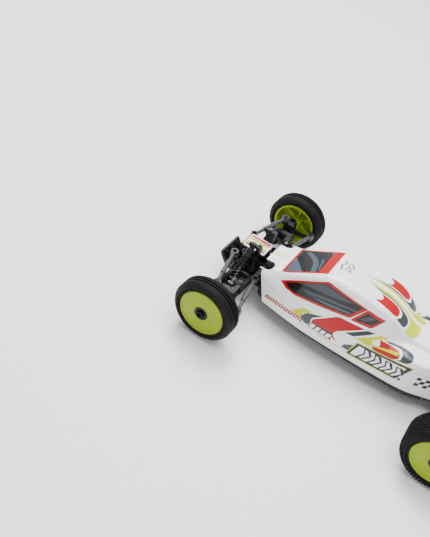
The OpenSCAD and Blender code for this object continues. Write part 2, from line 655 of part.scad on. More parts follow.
// Body of a shock, hanging from its eye at the origin
module damper(body_len, bore_top) difference() {
    union() {
        rod_y(eye_r, -eye_w / 2, eye_w / 2);
        translate([0, 0, -3]) cylinder(r = 1.3, h = 2);
        translate([0, 0, -4]) cylinder(r = damper_r + 0.3, h = 1.4);
        translate([0, 0, -body_len]) cylinder(r = damper_r, h = body_len - 3);
        translate([0, 0, -6]) cylinder(r = 2.5, h = 0.8);
        translate([0, 0, -body_len]) cylinder(r = damper_r + 0.15, h = 1.2);
    }
    rod_y(shock_pin_r + fit, -5, 5);
    translate([0, 0, -body_len - 1]) cylinder(r = rod_r + fit, h = body_len + 1 - bore_top);
}
// Piston rod with its foot at -len
module piston_rod(total, inside) difference() {
    union() {
        translate([0, 0, -total + 1]) cylinder(r = rod_r, h = total - 1 - inside);
        translate([0, 0, -total]) rod_y(eye_r, -eye_w / 2, eye_w / 2);
        translate([0, 0, -total + 1.2]) cylinder(r = 1.2, h = 1.6);
        translate([0, 0, -total + 2.6]) cylinder(r = 2.5, h = 0.7);
    }
    translate([0, 0, -total]) rod_y(shock_pin_r + loose, -5, 5);
}
// Places a shock between two points given as (x, z)
module hang(top, foot, y) {
    d = foot - top;
    translate([top[0], y, top[1]]) rotate([0, -atan2(d[0], -d[1]), 0]) children();
}
front_shock_len = norm(front_shock_foot - front_shock_top);
rear_shock_len = norm(rear_shock_foot - rear_shock_top);
front_body_len = 12;
rear_body_len = 16.5;
// s is 1 on the left and -1 on the right
module hang_front(s) at_front()
    hang([s * front_shock_top[0], front_shock_top[1]], [s * front_shock_foot[0], front_shock_foot[1]], front_shock_y)
        children();
module hang_rear(s) at_rear()
    hang([s * rear_shock_top[0], rear_shock_top[1]], [s * rear_shock_foot[0], rear_shock_foot[1]], rear_shock_y)
        children();
module front_shock_body(s) color(dark) hang_front(s) damper(front_body_len, 4.2);
module front_shock_rod(s) color(steel) hang_front(s) piston_rod(front_shock_len, 7);
module rear_shock_body(s) color(dark) hang_rear(s) damper(rear_body_len, 5);
module rear_shock_rod(s) color(steel) hang_rear(s) piston_rod(rear_shock_len, 9);

// ---------------------------------------------------------------- rear suspension

rear_arm_f = 6.5;
rear_arm_r = 8.4;
rear_lug_f = rear_arm_f + gap;
rear_lug_r = rear_arm_r + gap;
rear_beams = [[-rear_arm_f, 2.3], [2.2, 1.6], [rear_arm_r - 1.4, 1.4]];

module rear_arm() color(black) at_rear() translate([0, 0, rear_pin_z]) difference() {
    union() {
        translate([arm_in, 0, 0]) rod_y(barrel_r - 0.1, -rear_arm_f, rear_arm_r);
        for (b = rear_beams)
            block([arm_in, b[0], -arm_t / 2 + 0.2], [arm_out - 4, b[0] + b[1], arm_t / 2 - 0.2]);
        for (x = [14, 20, arm_out - 7])
            block([x, -rear_arm_f, -arm_t / 2 + 0.2], [x + 1.6, rear_arm_r, 0.2]);
        block([arm_out - 5.4, -rear_arm_f, -arm_t / 2 + 0.2], [arm_out - 3.4, rear_arm_r, arm_t / 2 - 0.2]);
        for (s = [-1, 1]) {
            y0 = s < 0 ? -fork_in - gap - fork_t : fork_in + gap;
            block([arm_out - 4, y0, -arm_t / 2 + 0.2], [arm_out, y0 + fork_t, arm_t / 2 - 0.2]);
            translate([arm_out, 0, 0]) rod_y(arm_t / 2 - 0.2, y0, y0 + fork_t);
        }
        translate([rear_shock_foot[0], 0, rear_shock_foot[1] - rear_pin_z]) {
            rod_y(shock_pin_r, 3, rear_arm_r - 1);
            for (b = [rear_beams[1], rear_beams[2]]) rod_y(1.4, b[0], b[0] + b[1]);
        }
        for (b = [rear_beams[1], rear_beams[2]])
            block([rear_shock_foot[0] - 1.4, b[0], 0],
                [rear_shock_foot[0] + 1.4, b[0] + b[1], rear_shock_foot[1] - rear_pin_z]);
    }
    translate([arm_in, 0, 0]) rod_y(pin_d / 2 + fit, -20, 20);
    translate([arm_out, 0, 0]) rod_y(pin_d / 2 + fit, -20, 20);
}

module rear_hub() color(black) at_rear() difference() {
    union() {
        translate([arm_out, 0, rear_pin_z]) rod_y(1.5, -fork_in, fork_in);
        rod_x(3.1, hub_x, hub_x + hub_w);
        block([arm_out, -fork_in, rear_pin_z - 1.4], [hub_x + hub_w - 1, fork_in, -cup_r - gap - 0.3]);
        block([hub_x, -fork_in, rear_pin_z], [hub_x + hub_w - 1, fork_in, 0]);
        // Upright for the camber link
        block([hub_x, rear_link_y - 1, 0], [hub_x + 1.6, 2, rear_upper_z - ring_h / 2 - 0.5]);
        block([arm_out - 1.1, rear_link_y - 1.1, rear_upper_z - ring_h / 2 - 1.9],
            [hub_x + 1.6, rear_link_y + 1.4, rear_upper_z - ring_h / 2 - 0.5]);
        ball_stud_loose([arm_out, rear_link_y, rear_upper_z], rear_upper_z - ring_h / 2 - 0.7);
        translate([arm_out, 0, rear_pin_z])
            rod_y(pin_d / 2, -fork_in - gap - fork_t - 0.2, fork_in + gap + fork_t + 0.2);
    }
    rod_x(axle_r + fit, hub_x - 4, hub_x + hub_w + 2);
}

cup_depth = 3.2;
module rear_axle() color(steel) at_rear() {
    difference() {
        union() {
            rod_x(cup_r, shaft_out - 1.9, hub_x - 0.3);
            rod_x(axle_r, hub_x - 0.5, face_x - 1.4);
        }
        rod_x(1.5, shaft_out - 3, shaft_out + 1.2);
        block([shaft_out - 3, -0.6, -4], [shaft_out + 0.4, 0.6, 4]);
    }
    translate([nut_x0, 0, 0]) rotate([0, 90, 0]) difference() {
        cylinder(r = 2.1, h = 1.5, $fn = 6);
        translate([0, 0, -1]) cylinder(r = axle_r, h = 4);
    }
    // Drive hex behind the wheel
    translate([hub_x + hub_w + 0.3, 0, 0]) rotate([0, 90, 0]) difference() {
        cylinder(r = 2.6, h = 1.6, $fn = 6);
        translate([0, 0, -1]) cylinder(r = axle_r, h = 4);
    }
}

module drive_shaft() color(steel) at_rear() {
    rod_x(0.8, shaft_in, shaft_out);
    for (x = [shaft_in, shaft_out]) translate([x, 0, 0]) sphere(r = 1.15);
}

module rear_wheel() color(lime) at_rear() translate([face_x, 0, 0])
    rim(rear_tyre_w - 0.8, 3.2, face_x - hub_x - hub_w - 2, axle_r, 2.5, 3.05);

module rear_tyre() color(rubber) at_rear() translate([tyre_out, 0, 0]) rotate([0, -90, 0])
    rotate_extrude($fn = 96) polygon(tyre_outline(rear_tyre_d / 2, rear_tyre_w, 3));

module rear_camber_link() color(grey) at_rear()
    ring_link([arm_in, rear_link_y, rear_upper_z], [arm_out, rear_link_y, rear_upper_z],
        ball_r + fit, stud_r + loose);

// ---------------------------------------------------------------- drive train

case_wall = 0.7;
case_room = 0.35;
diff_gear_w = 2.4;
diff_tip = gear_m * (diff_n / 2 + tooth_tip);
idler_tip = gear_m * (idler_n / 2 + tooth_tip);
small_tip = gear_m * (small_n / 2 + tooth_tip);
// The gears' places with the radius of the room around each
gear_rooms = [[[0, 0], diff_tip + case_room], [idler, idler_tip + case_room], [lay, small_tip + case_room]];
module gearbox_case() color(dark) at_rear() difference() {
    union() {
        intersection() {
            union() {
                for (g = gear_rooms) translate([0, g[0][0], g[0][1]])
                    rod_x(g[1] + case_wall, -case_half_w, case_half_w);
                block([-case_half_w, lay_y, -4], [case_half_w, 0, lay_z + small_tip]);
            }
            block([-20, -40, floor_z - rear_z], [20, 30, 30]);
        }
        // Lugs of the rear hinge pins
        for (s = [-1, 1]) on_side(s) for (y = [-rear_lug_f - lug_t, rear_lug_r]) {
            translate([arm_in, 0, rear_pin_z]) rod_y(1.5, y, y + lug_t);
            block([case_half_w - 3, y, rear_pin_z - 1.45], [arm_in, y + lug_t, rear_pin_z + 1.5]);
        }
        block([-case_half_w, 0, rear_pin_z - 1.45], [case_half_w, rear_lug_r + lug_t, rear_pin_z + 1.5]);
        // Motor plate
        block([spur_x - 2.9, motor_y - 5, motor_z - 4], [spur_x - 1.9, lay_y, motor_z + 4]);
        // Shoulders of the camber links
        for (s = [-1, 1]) on_side(s) {
            block([3, rear_link_y - 1.3, 4.2], [arm_in + 1.2, rear_link_y + 1.3, rear_upper_z - ring_h / 2 - 0.5]);
            ball_stud([arm_in, rear_link_y, rear_upper_z], rear_upper_z - ring_h / 2 - 0.7);
        }
    }
    // Room for the gears and holes for their shafts
    for (g = gear_rooms) translate([0, g[0][0], g[0][1]])
        rod_x(g[1], -diff_gear_w / 2 - 0.5, diff_gear_w / 2 + 0.5);
    rod_x(1.6 + fit, -30, 30);
    for (g = [idler, lay]) translate([0, g[0], g[1]]) rod_x(1 + fit, -30, 30);
    // Outdrive cups
    for (s = [-1, 1]) on_side(s) rod_x(cup_r + gap, case_half_w - 0.6, 20);
    // Motor boss hole
    translate([0, motor_y, motor_z]) rod_x(2 + fit, spur_x - 4, spur_x);
    for (s = [-1, 1]) translate([s * arm_in, 0, rear_pin_z]) rod_y(pin_d / 2, -20, 20);
}

module differential() color(steel) at_rear() {
    difference() {
        union() {
            gear(diff_n, -diff_gear_w / 2, diff_gear_w / 2);
            rod_x(1.6, -case_half_w - 0.2, case_half_w + 0.2);
            for (s = [-1, 1]) on_side(s) rod_x(cup_r, case_half_w - 0.2, shaft_in + 1.9);
        }
        for (s = [-1, 1]) on_side(s) {
            rod_x(1.5, shaft_in - 1.6, 20);
            block([shaft_in - 0.6, -0.6, -4], [20, 0.6, 4]);
        }
    }
}

module layshaft_gears() color(grey) at_rear() translate([0, lay_y, lay_z]) {
    gear(small_n, -diff_gear_w / 2, diff_gear_w / 2, small_turn);
    gear(spur_n, spur_x, spur_x + spur_w, spur_turn);
    rod_x(1, -case_half_w + 0.4, spur_x + spur_w + 0.6);
}
module idler_gear() color(grey) at_rear() translate([0, idler[0], idler[1]]) {
    gear(idler_n, -diff_gear_w / 2, diff_gear_w / 2, idler_turn);
    rod_x(1, -case_half_w + 0.4, case_half_w - 0.4);
}
motor_x = spur_x - 3;
shaft_r = 0.75;
module motor_pinion() color(steel) at_rear() translate([0, motor_y, motor_z]) {
    gear(pinion_n, spur_x - 0.3, spur_x + spur_w + 0.5, pinion_turn);
    rod_x(shaft_r, motor_x - 4, spur_x + spur_w + 1);
}
// Angle, in a gear's own turn, of the direction (y, z): 0 is -z, 90 is +y
function toward(y, z) = atan2(y, -z);
idler_turn = mate(toward(lay_y, lay_z), 0, diff_n, idler_n);
small_turn = mate(toward(lay_y, lay_z), idler_turn, idler_n, small_n);
spur_turn = 0;
pinion_turn = mate(toward(lay_y - motor_y, lay_z - motor_z) + 180, spur_turn, spur_n, pinion_n);
// Turn of the second gear that puts a gap opposite the first gear's tooth or the other way round;
// dir points from the first gear to the second one
function mate(dir, turn1, n1, n2) =
    let (phase1 = (dir - turn1) * n1 / 360)
    dir + 180 + (phase1 + 0.5) * 360 / n2;

module motor_can() color(grey) at_rear() translate([0, motor_y, motor_z]) difference() {
    union() {
        intersection() {
            rod_x(motor_d / 2, motor_x - motor_l, motor_x);
            block([motor_x - motor_l, -motor_d / 2, -motor_d / 2 + 0.6], [motor_x, motor_d / 2, motor_d / 2 - 0.6]);
        }
        rod_x(2, motor_x, motor_x + 0.9);
        rod_x(2.4, motor_x - motor_l - 1, motor_x - motor_l);
    }
    rod_x(shaft_r + fit, motor_x - 5, motor_x + 5);
}

module battery_pack() color(blue) at_front()
    block([battery_x, battery_y, floor_z - front_z],
        [battery_x + battery_w, battery_y + battery_l, floor_z - front_z + battery_h]);
module control_board() color(green) at_front() {
    block([3.4, 38, floor_z - front_z + 1.2], [14.2, 74, floor_z - front_z + 2.2]);
    for (p = [[4.2, 41, 3.6, 6, 1.8], [9.2, 40, 4.2, 10, 3.2], [4.4, 52, 7.2, 7.2, 1.4], [8.4, 63, 5.2, 9, 4.4]])
        translate([p[0], p[1], floor_z - front_z + 2.2]) cube([p[2], p[3], p[4]]);
    for (x = [4.4, 13.2], y = [39.2, 72.8]) translate([x, y, floor_z - front_z]) cylinder(r = 0.7, h = 1.2);
}

// ---------------------------------------------------------------- rear tower and wing

wing_back = rear_y + wing_reach;
wing_z = wing_top - rear_z;
module rear_shock_tower() color(black) at_rear() {
    difference() {
        cross_plate(both([[5.6, rear_pin_z + 1.6], [6.2, 6], [7.4, 12], [11.4, 20.4], [11.4, 22.8], [10, 24], [7.8, 23.6],
            [4.6, 19.5], [2.4, 18.4]]), rear_tower_y, rear_tower_y + 1.8);
        translate([0, 0, 12]) rod_y(2.4, 0, 20);
    }
    for (s = [-1, 1]) on_side(s) {
        translate([rear_shock_top[0], 0, rear_shock_top[1]]) {
            rod_y(shock_pin_r, rear_shock_y - eye_w / 2 - 0.5, rear_tower_y + 0.5);
            rod_y(1.1, rear_shock_y - eye_w / 2 - 1.1, rear_shock_y - eye_w / 2 - 0.35);
        }
        // Wing mounts
        side_plate(concat([[rear_tower_y + 1.7, 6], [rear_tower_y + 1.7, 16]],
            [for (i = [2:8]) wing_curve(i / 10) - [0, wing_t]],
            [[wing_reach - 5.5, wing_z - 4], [wing_reach - 13, wing_z - 8], [rear_tower_y + 5, 12]]), 4.4, 5.8);
    }
}

wing_t = 0.9;
function wing_curve(u) = [wing_reach - wing_chord * (1 - u), wing_z - 1 - 3.2 * pow(1 - u, 2) - (1 - u) * 0.6];
module rear_wing() color(white) at_rear() {
    side_plate(concat([for (i = [0:10]) wing_curve(i / 10)],
        [for (i = [10:-1:0]) wing_curve(i / 10) - [0, wing_t]]), -wing_half_w, wing_half_w);
    // Lip along the trailing edge
    side_plate([[wing_reach - 0.9, wing_z - 1.6], [wing_reach, wing_z - 1.6], [wing_reach, wing_z],
        [wing_reach - 0.9, wing_z]], -wing_half_w, wing_half_w);
    // End plates
    for (s = [-1, 1]) on_side(s)
        side_plate([[wing_reach - wing_chord - 1, wing_z - 8], [wing_reach - wing_chord - 1, wing_z - 3],
            [wing_reach - wing_chord + 5, wing_z - 0.2], [wing_reach, wing_z], [wing_reach, wing_z - 6],
            [wing_reach - 4, wing_z - 9]], wing_half_w - 0.9, wing_half_w);
}

// ---------------------------------------------------------------- left and right

module flip() mirror([1, 0, 0]) children();
module front_arm_left() front_arm();
module caster_block_left() caster_block();
module steering_knuckle_left() steering_knuckle();
module front_axle_left() front_axle();
module front_wheel_left() front_wheel();
module front_tyre_left() front_tyre();
module front_camber_link_left() front_camber_link();
module tie_rod_left() tie_rod();
module front_shock_body_left() front_shock_body(1);
module front_shock_rod_left() front_shock_rod(1);
module front_arm_right() flip() front_arm();
module caster_block_right() flip() caster_block();
module steering_knuckle_right() flip() steering_knuckle();
module front_axle_right() flip() front_axle();
module front_wheel_right() flip() front_wheel();
module front_tyre_right() flip() front_tyre();
module front_camber_link_right() flip() front_camber_link();
module tie_rod_right() flip() tie_rod();
module front_shock_body_right() front_shock_body(-1);
module front_shock_rod_right() front_shock_rod(-1);
module rear_arm_left() rear_arm();
module rear_hub_left() rear_hub();
module rear_axle_left() rear_axle();
module rear_wheel_left() rear_wheel();
module rear_tyre_left() rear_tyre();
module rear_camber_link_left() rear_camber_link();
module drive_shaft_left() drive_shaft();
module rear_shock_body_left() rear_shock_body(1);
module rear_shock_rod_left() rear_shock_rod(1);
module rear_arm_right() flip() rear_arm();
module rear_hub_right() flip() rear_hub();
module rear_axle_right() flip() rear_axle();
module rear_wheel_right() flip() rear_wheel();
module rear_tyre_right() flip() rear_tyre();
module rear_camber_link_right() flip() rear_camber_link();
module drive_shaft_right() flip() drive_shaft();
module rear_shock_body_right() rear_shock_body(-1);
module rear_shock_rod_right() rear_shock_rod(-1);

chassis_tub();
front_bumper();
front_bulkhead();
nose_plate();
front_shock_tower();
body_shell();
gearbox_case();
rear_shock_tower();
rear_wing();
motor_can();
steering_servo();
battery_pack();
control_board();
hinge_pins();
body_screws();
motor_pinion();
layshaft_gears();
idler_gear();
differential();
servo_saver();
idler_lever();
steering_rack();
front_arm_left();
caster_block_left();
steering_knuckle_left();
front_axle_left();
front_wheel_left();
front_tyre_left();
front_camber_link_left();
tie_rod_left();
front_shock_body_left();
front_shock_rod_left();
front_arm_right();
caster_block_right();
steering_knuckle_right();
front_axle_right();
front_wheel_right();
front_tyre_right();
front_camber_link_right();
tie_rod_right();
front_shock_body_right();
front_shock_rod_right();
rear_arm_left();
rear_hub_left();
rear_axle_left();
rear_wheel_left();
rear_tyre_left();
rear_camber_link_left();
drive_shaft_left();
rear_shock_body_left();
rear_shock_rod_left();
rear_arm_right();
rear_hub_right();
rear_axle_right();
rear_wheel_right();
rear_tyre_right();
rear_camber_link_right();
drive_shaft_right();
rear_shock_body_right();
rear_shock_rod_right();
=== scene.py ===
"""Looks of a 1/24 off-road buggy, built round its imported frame. Nose -Y, the car's left +X, up +Z."""
import json
import math

import bmesh
import bpy
from mathutils import Matrix, Vector
from mathutils.bvhtree import BVHTree
from mathutils.interpolate import poly_3d_calc


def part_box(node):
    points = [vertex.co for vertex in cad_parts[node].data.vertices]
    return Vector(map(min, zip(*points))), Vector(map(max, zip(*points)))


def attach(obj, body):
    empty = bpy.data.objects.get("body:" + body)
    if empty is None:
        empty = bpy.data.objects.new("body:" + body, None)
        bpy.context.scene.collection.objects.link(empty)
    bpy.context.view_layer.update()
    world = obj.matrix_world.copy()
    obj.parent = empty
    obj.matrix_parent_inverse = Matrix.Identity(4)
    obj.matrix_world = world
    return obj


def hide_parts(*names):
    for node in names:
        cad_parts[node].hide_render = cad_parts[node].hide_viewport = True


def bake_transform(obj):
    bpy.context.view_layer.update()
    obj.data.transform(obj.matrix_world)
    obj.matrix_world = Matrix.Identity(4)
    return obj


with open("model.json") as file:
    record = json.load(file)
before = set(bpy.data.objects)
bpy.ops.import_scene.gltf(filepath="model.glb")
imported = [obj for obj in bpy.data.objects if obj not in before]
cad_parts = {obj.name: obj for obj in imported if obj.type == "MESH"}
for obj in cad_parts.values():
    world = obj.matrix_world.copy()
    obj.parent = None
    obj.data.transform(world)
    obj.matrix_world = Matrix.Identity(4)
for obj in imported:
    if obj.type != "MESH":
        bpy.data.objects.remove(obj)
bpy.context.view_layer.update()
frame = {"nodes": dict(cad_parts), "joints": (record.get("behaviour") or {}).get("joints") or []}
nodes = frame["nodes"]
joints = {j["name"]: j for j in frame["joints"]}
MM = 0.001
SIDES = (("left", 1), ("right", -1))


def middle(node):
    low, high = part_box(node)
    return (low + high) / 2


# The middles of both axles, which everything is measured from
front = middle("front_tyre_left")
rear = middle("rear_tyre_left")
front.x = rear.x = 0


# ---------------------------------------------------------------- camera
def make_camera():
    """Stands high in front of the car's left front wheel."""
    camera = bpy.data.objects.new("camera", bpy.data.cameras.new("camera"))
    camera.data.lens = 43.9
    camera.data.clip_start = 0.01
    right = Vector((-0.5474, 0.8139, 0.1948))
    up = Vector((-0.4941, -0.5022, 0.7097))
    back = right.cross(up)
    turn = Matrix((right, up, back)).transposed().to_4x4()
    camera.matrix_world = Matrix.Translation(front + Vector((235.34, 81.41, 215.85)) * MM) @ turn
    bpy.context.scene.collection.objects.link(camera)
    bpy.context.scene.camera = camera


# ---------------------------------------------------------------- materials
def linear(code):
    """An sRGB hex colour as linear red, green, blue and alpha."""
    parts = [int(code[i:i + 2], 16) / 255 for i in (0, 2, 4)]
    return tuple(c / 12.92 if c <= 0.04045 else ((c + 0.055) / 1.055) ** 2.4 for c in parts) + (1.0,)


def add(tree, kind, settings=None, links=None):
    """Adds a node; settings are sockets or properties, links run from other nodes' sockets."""
    made = tree.nodes.new("ShaderNode" + kind)
    for key, value in (settings or {}).items():
        if isinstance(key, int) or key in made.inputs:
            made.inputs[key].default_value = value
        else:
            setattr(made, key, value)
    for key, source in (links or {}).items():
        tree.links.new(source, made.inputs[key])
    return made


def finish(name, code, rough, grain=0.5, depth=0.01, metallic=0.0, coat=0.0, ior=1.5,
           edge=0.12, second=None, patch=6.0, spread=0.08, shine=0.5):
    """A finish with moulding grain of a size and depth in mm, softened edges and slow colour changes."""
    made = bpy.data.materials.new(name)
    made.use_nodes = True
    tree = made.node_tree
    tree.nodes.clear()
    place = add(tree, "TexCoord").outputs["Object"]
    fine = add(tree, "TexNoise", {"Scale": 1 / (grain * MM), "Detail": 3.0}, {"Vector": place})
    slow = add(tree, "TexNoise", {"Scale": 1 / (patch * MM), "Detail": 4.0}, {"Vector": place})
    span = {"From Min": 0.3, "From Max": 0.7, "To Min": rough - spread, "To Max": rough + spread}
    shade = add(tree, "MapRange", span, {"Value": slow.outputs["Fac"]})
    mixed = add(tree, "Mix", {"data_type": "RGBA", 6: linear(code), 7: linear(second or code)},
                {0: slow.outputs["Fac"]})
    soft = add(tree, "Bevel", {"samples": 4, "Radius": edge * MM})
    bump = add(tree, "Bump", {"Strength": 0.6, "Distance": depth * MM},
               {"Height": fine.outputs["Fac"], "Normal": soft.outputs["Normal"]})
    settings = {"Metallic": metallic, "Coat Weight": coat, "Coat Roughness": 0.06, "Specular IOR Level": shine}
    if metallic < 0.5:
        settings["IOR"] = ior
    links = {"Base Color": mixed.outputs[2], "Roughness": shade.outputs["Result"],
             "Normal": bump.outputs["Normal"]}
    shader = add(tree, "BsdfPrincipled", settings, links)
    add(tree, "OutputMaterial", links={"Surface": shader.outputs["BSDF"]})
    return made


# Glass-filled nylon, injection moulded: near black, with a fine sparkle of grain on its broad faces
BLACK = finish("black_glass_filled_nylon", "0d0d0e", 0.46, grain=0.35, depth=0.03, second="141415", shine=0.3)
# Plain nylon, moulded satin: the levers, servo and shock bodies
DARK = finish("dark_satin_nylon", "151517", 0.4, grain=0.5, depth=0.015, second="1b1b1e", shine=0.3)
# Flexible dark grey nylon of the links: waxy
GREY = finish("grey_link_nylon", "3d3e40", 0.42, grain=0.6, depth=0.02, second="48494b", shine=0.35)
# Lime nylon of the rims, dyed through and polished in the mould
LIME = finish("lime_polished_nylon", "93a900", 0.36, grain=1.2, depth=0.006, second="899e00", spread=0.05,
              shine=0.2)
# Soft rubber compound: dull black with dusty patches
RUBBER = finish("soft_rubber", "0a0a0b", 0.7, grain=0.3, depth=0.05, second="121212", patch=4, spread=0.1,
                shine=0.2)
# Turned and zinc plated steel
STEEL = finish("plated_steel", "8d9094", 0.3, grain=0.4, depth=0.006, metallic=1.0, second="7b7e82",
               edge=0.08)
# Steel blackened in oil: springs, screws, axles and wheel nuts
SPRING = finish("blackened_steel", "232426", 0.34, grain=0.5, depth=0.006, metallic=1.0, second="18191a",
                edge=0.04)
# Drawn and plated motor can
CAN = finish("drawn_steel_can", "808387", 0.34, grain=0.8, depth=0.006, metallic=1.0, second="707377")
# Shrink wrap and circuit board
WRAP = finish("blue_shrink_wrap", "12308a", 0.3, grain=3, depth=0.05, coat=0.3, shine=0.3)
BOARD = finish("green_solder_mask", "074f28", 0.34, grain=1, depth=0.01, coat=0.2, shine=0.3)


def paint(name, code, second, coat=0.45):
    """Paint on the inside of thin clear polycarbonate, so every colour lies under a deep gloss."""
    return finish(name, code, 0.34, 2, 0.004, coat=coat, ior=1.58, second=second, spread=0.04, shine=0.2)


PAINTS = {
    "white": paint("white_under_polycarbonate", "fdfdfd", "f8f8f8"),
    "red": paint("red_under_polycarbonate", "b4000f", "a8000d", 0.3),
    "yellow": paint("yellow_under_polycarbonate", "cfd600", "c4cb00", 0.3),
    "slate": paint("slate_under_polycarbonate", "3a4146", "343b40"),
    "black": paint("black_under_polycarbonate", "050506", "0a0a0b"),
    "glass": paint("smoked_window", "0e0f11", "141518", 0.7),
    # A light blue grey laid over the dark windows as painted highlights: painted reflections of light on the
    # panes
    "painted_highlight": paint("window_highlight", "465462", "3a4855", 0.7),
    "inner": finish("bare_inner_face", "b9b9b6", 0.5, 0.8, 0.02, second="a8a8a5"),
}
PAINT_LIST = list(PAINTS)

BY_SLOT = {"black_nylon": BLACK, "grey_nylon": GREY, "white_shell": PAINTS["white"], "lime_rim": LIME,
           "tyre_rubber": RUBBER, "steel": STEEL, "motor_steel": CAN, "dark_nylon": DARK,
           "battery_wrap": WRAP, "board_green": BOARD}
BLACKENED = ("front_axle", "rear_axle", "drive_shaft", "body_screw")


def dress_frame():
    """Every node of the frame takes the finish of its slot."""
    for name, shown in nodes.items():
        for place in shown.material_slots:
            slot = place.material.name.split(".")[0] if place.material else ""
            place.material = SPRING if name.startswith(BLACKENED) else BY_SLOT.get(slot, BLACK)


# ---------------------------------------------------------------- modelling helpers
def piece(name, bm, materials, body, smooth=35, stands_for=()):
    """Makes an object of a bmesh, shades it and lets it ride on a body."""
    mesh = bpy.data.meshes.new(name)
    bm.to_mesh(mesh)
    bm.free()
    for one in materials:
        mesh.materials.append(one)
    mesh.shade_smooth()
    mesh.set_sharp_from_angle(angle=math.radians(smooth))
    made = bpy.data.objects.new(name, mesh)
    bpy.context.scene.collection.objects.link(made)
    if body:
        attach(made, body)
    if stands_for:
        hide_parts(*stands_for)
    return made


def turned(bm, profile, at, steps=96):
    """Turns a closed profile of (x, radius) points in mm about the X axis through a point."""
    verts = [bm.verts.new(at + Vector((x, 0, r)) * MM) for x, r in profile]
    edges = [bm.edges.new((a, b)) for a, b in zip(verts, verts[1:] + verts[:1])]
    bmesh.ops.spin(bm, geom=verts + edges, cent=at, axis=(1, 0, 0), dvec=(0, 0, 0), angle=math.tau,
                   steps=steps, use_merge=True, use_duplicate=False)
    bmesh.ops.remove_doubles(bm, verts=bm.verts, dist=1e-6)
    bmesh.ops.recalc_face_normals(bm, faces=bm.faces)


def stack(bm, rings, place, material=0):
    """Bridges rings of (sides, radius, height) in mm, standing on a matrix, into one closed turned part."""
    faces_before = set(bm.faces)
    loops = []
    for sides, radius, height in rings:
        lifted = place @ Matrix.Translation((0, 0, height * MM))
        made = bmesh.ops.create_circle(bm, segments=sides, radius=radius * MM, matrix=lifted)["verts"]
        loops.append((made, list({e for v in made for e in v.link_edges})))
    for (_, low), (_, high) in zip(loops, loops[1:]):
        bmesh.ops.bridge_loops(bm, edges=low + high)
    for verts, _ in (loops[0], loops[-1]):
        bmesh.ops.contextual_create(bm, geom=verts)
    fresh = [f for f in bm.faces if f not in faces_before]
    bmesh.ops.recalc_face_normals(bm, faces=fresh)
    for f in fresh:
        f.material_index = material


def towards(at, direction):
    """A matrix at a point whose Z axis looks along a direction."""
    return Matrix.Translation(at) @ Vector(direction).to_track_quat("Z", "Y").to_matrix().to_4x4()


def screw(bm, at, direction, radius=1.0, height=0.8):
    """A button head screw with a hexagon socket."""
    r, h = radius, height
    rings = [(20, r, -0.3), (20, r, 0.45 * h), (20, 0.93 * r, 0.75 * h), (20, 0.75 * r, h),
             (6, 0.52 * r, h), (6, 0.5 * r, 0.3 * h)]
    stack(bm, rings, towards(at, direction))


def plate(bm, outline, thick, material=0):
    """A thin solid of an outline of points in metres, pulled along a vector."""
    verts = [bm.verts.new(p) for p in outline]
    face = bm.faces.new(verts)
    out = bmesh.ops.extrude_face_region(bm, geom=[face], use_keep_orig=True)["geom"]
    bmesh.ops.translate(bm, verts=[g for g in out if isinstance(g, bmesh.types.BMVert)], vec=thick)
    fresh = {f for v in verts for f in v.link_faces} | {g for g in out if isinstance(g, bmesh.types.BMFace)}
    bmesh.ops.recalc_face_normals(bm, faces=list(fresh))
    for f in fresh:
        f.material_index = material


# ---------------------------------------------------------------- body shell
# Each row: place along the shell, 0 front and 1 rear, then half width or height in mm from the front axle
RIDGE = [(0, 11.3), (0.056, 12.2), (0.113, 13.2), (0.21, 19.2), (0.313, 25.4), (0.415, 26.6), (0.518, 26.5),
         (0.62, 25.4), (0.682, 22.8), (0.744, 19), (0.805, 17.7), (1, 17)]
EDGE_X = [(0, 10.5), (0.056, 11.2), (0.113, 11.4), (0.21, 11.9), (0.313, 12.3), (0.415, 12.5), (0.518, 12.5),
          (0.62, 12.4), (0.682, 11.2), (0.744, 8.2), (0.805, 7.4), (1, 6.4)]
EDGE_Z = [(0, 11), (0.056, 11.8), (0.113, 12.7), (0.21, 18.6), (0.313, 24.8), (0.415, 26), (0.518, 25.9),
          (0.62, 24.6), (0.682, 21.6), (0.744, 16.4), (0.805, 14.6), (1, 14)]
WAIST_X = [(0, 13.2), (0.113, 14), (0.21, 15.2), (0.313, 15.8), (0.415, 15.8), (0.518, 15.5), (0.62, 14.6),
           (0.682, 13), (0.744, 10), (0.805, 8.8), (1, 7.8)]
WAIST_Z = [(0, 9.4), (0.113, 9), (0.21, 9.2), (0.313, 10.8), (0.415, 12.4), (0.518, 13.6), (0.62, 14),
           (0.682, 13.6), (0.744, 12.8), (0.805, 12.6), (1, 12.6)]
CREASE_X = [(0, 14.4), (0.113, 15.7), (0.21, 17.3), (0.313, 18.4), (0.415, 18.8), (0.62, 18.4), (0.805, 17.5),
            (0.877, 16.6), (1, 12)]
CREASE_Z = [(0, 7.6), (0.113, 5.2), (0.21, 2.2), (0.313, 1.9), (0.415, 3), (0.518, 4.6), (0.62, 6.8),
            (0.744, 9.8), (0.805, 11.4), (1, 11.4)]
SILL_X = [(0, 14.7), (0.113, 16.2), (0.21, 17.6), (0.313, 18.7), (0.415, 19), (0.62, 18.7), (0.805, 17.8),
          (0.877, 16.8), (1, 12.2)]
SHELL_FRONT, SHELL_LENGTH = 7.5, 97.5
# How far each corner of the section is eased towards its neighbours
EASING = (0.0, 0.2, 0.3, 0.2, 0.5, 0.2, 0.3, 0.2, 0.0)


def along(t, rows):
    """A row's value at t, smoothed over a short stretch."""
    def plain(s):
        s = min(max(s, 0.0), 1.0)
        for (t0, v0), (t1, v1) in zip(rows, rows[1:]):
            if s <= t1:
                return v0 + (v1 - v0) * (s - t0) / (t1 - t0)
        return rows[-1][1]
    taps = [k / 6 for k in range(-6, 7)]
    return sum(plain(t + 0.032 * k) for k in taps) / len(taps)


